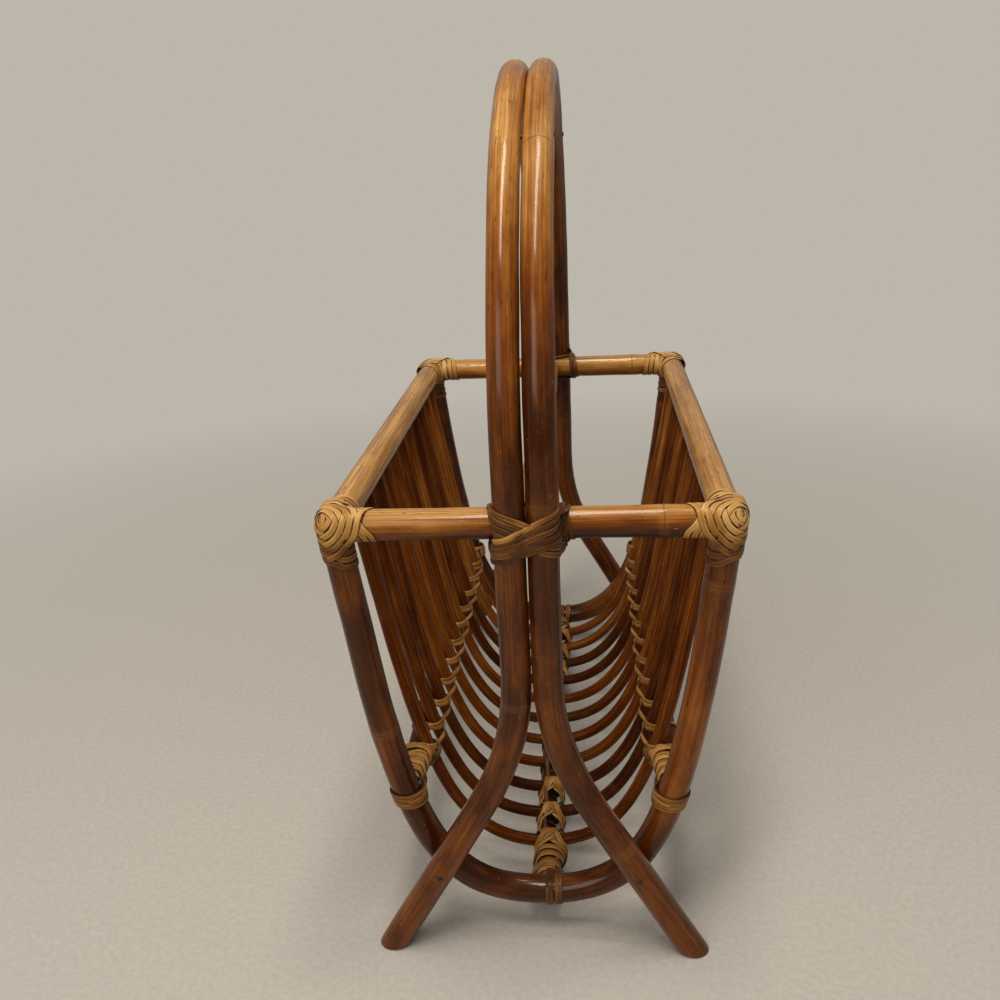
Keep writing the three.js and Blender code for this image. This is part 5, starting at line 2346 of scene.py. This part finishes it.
@dataclass
class Room:
    """Floor, backdrop, lamps and camera."""

    floor_half: float = 12.0
    floor_cells: int = 8
    fade: Pair = (0.3, 1.2)
    backdrop: Colour = srgb(189, 183, 171)
    sky: Colour = srgb(226, 224, 220)
    sky_strength: float = 0.36
    lamps: tuple[Lamp, ...] = (
        Lamp("ceiling_lamp", (-0.05, -0.45, 1.9), (0, -0.3, 0.2), (0.3, 1.3), 25),
        Lamp("side_fill", (-0.9, -1.9, 1.3), (0, 0, 0.25), (1.2, 1.2), 14),
    )
    camera_place: tuple[float, float, float] = (0.034134, -0.695856, 0.480949)
    yaw: float = math.radians(5.54)
    pitch: float = math.radians(-20.30)
    roll: float = math.radians(2.81)
    lens: float = 35.53
    sensor: float = 36
    near_clip: float = 0.01

    def build_floor(self) -> None:
        """Builds the pale floor."""
        deselect_all()
        bpy.ops.mesh.primitive_grid_add(
            x_subdivisions=self.floor_cells, y_subdivisions=self.floor_cells, size=2 * self.floor_half
        )
        floor = bpy.context.active_object
        floor.name = "floor"
        finish = PlainFinish("pale_floor", srgb(193, 186, 175), srgb(185, 178, 167), 260, 0.9)
        material = finish.material()
        tree = material.node_tree
        place = add_node(tree, "ShaderNodeTexCoord")
        distance = add_node(tree, "ShaderNodeVectorMath", operation="LENGTH")
        link(tree, place.outputs["Object"], distance.inputs[0])
        far = remap(tree, distance.outputs["Value"], self.fade)
        path = add_node(tree, "ShaderNodeLightPath")
        share = arithmetic(tree, "MULTIPLY", far, path.outputs["Is Camera Ray"])
        glow = add_node(tree, "ShaderNodeEmission")
        glow.inputs["Color"].default_value = (*self.backdrop, 1)
        choice = add_node(tree, "ShaderNodeMixShader")
        link(tree, share, choice.inputs["Fac"])
        link(tree, tree.nodes["Principled BSDF"].outputs["BSDF"], choice.inputs[1])
        link(tree, glow.outputs["Emission"], choice.inputs[2])
        link(tree, choice.outputs["Shader"], tree.nodes["Material Output"].inputs["Surface"])
        floor.data.materials.append(material)

    def build_world(self) -> None:
        """Gives the scene soft light from all sides and a pale backdrop."""
        world = bpy.data.worlds.new("room")
        bpy.context.scene.world = world
        world.use_nodes = True
        tree = world.node_tree
        light = tree.nodes["Background"]
        set_inputs(light, {"Color": (*self.sky, 1), "Strength": self.sky_strength})
        backdrop = add_node(tree, "ShaderNodeBackground")
        set_inputs(backdrop, {"Color": (*self.backdrop, 1), "Strength": 1})
        path = add_node(tree, "ShaderNodeLightPath")
        choice = add_node(tree, "ShaderNodeMixShader")
        link(tree, path.outputs["Is Camera Ray"], choice.inputs["Fac"])
        link(tree, light.outputs["Background"], choice.inputs[1])
        link(tree, backdrop.outputs["Background"], choice.inputs[2])
        link(tree, choice.outputs["Shader"], tree.nodes["World Output"].inputs["Surface"])

    def build_camera(self) -> None:
        """Sets the camera at the photograph's place and angle."""
        deselect_all()
        bpy.ops.object.camera_add(location=self.camera_place)
        camera = bpy.context.active_object
        camera.name = "front_camera"
        turn = (
            Matrix.Rotation(self.yaw, 3, "Z")
            @ Matrix.Rotation(self.pitch, 3, "X")
            @ Matrix.Rotation(self.roll, 3, "Y")
            @ Matrix.Rotation(math.radians(90), 3, "X")
        )
        camera.rotation_euler = turn.to_euler()
        camera.data.sensor_width = self.sensor
        camera.data.lens = self.lens
        camera.data.clip_start = self.near_clip
        bpy.context.scene.camera = camera

    def build(self) -> None:
        """Builds the room round the basket."""
        self.build_camera()
        self.build_floor()
        self.build_world()
        for lamp in self.lamps:
            lamp.build()
        bpy.context.scene.view_settings.view_transform = "Standard"


def main() -> None:
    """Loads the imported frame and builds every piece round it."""
    logging.basicConfig(level=logging.INFO, format="%(message)s")
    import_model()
    Room().build()
    grain = grain_group()
    thick = CaneFinish(
        name="thick_cane",
        streak_width=1.1 * MM,
        streak_length=70 * MM,
        contrast=0.65,
        roughness=0.3,
        shine=0.15,
        varnish=0.38,
        ring_share=0.24,
        blotching=0.3,
    ).material(grain)
    thin = CaneFinish(
        name="rib_cane",
        streak_width=0.8 * MM,
        streak_length=45 * MM,
        contrast=1.0,
        roughness=0.45,
        shine=0.08,
        varnish=0.05,
        ring_share=0.12,
        blotching=0.15,
    ).material(grain)
    hoops = Hoops(thick)
    hoops.build()
    basket = Basket(thick, thin)
    basket.build_end_frames()
    basket.build_crossbars()
    basket.build_rails()
    basket.build_ribs()
    basket.build_stringers()
    wound = StripFinish(
        name="cane_strip", streak_width=0.5 * MM, streak_length=40 * MM, roughness=0.42
    ).material(grain)
    wide = StripSizes(width=3.8 * MM)
    CornerBindings(basket, wide, wound).build()
    HoopLashings(basket, hoops, StripSizes(most_lift=1.4 * MM), wound).build()
    chains = ChainLashings(basket, StripSizes(width=3 * MM), wound)
    EndLashings(basket, chains, wide, wound).build(chains.build())
    steel = PlainFinish("nail_steel", srgb(74, 52, 38), srgb(44, 29, 20), 900, 0.45, 0.5).material()
    Nails(basket, hoops, steel).build()


if __name__ == "__main__":
    main()
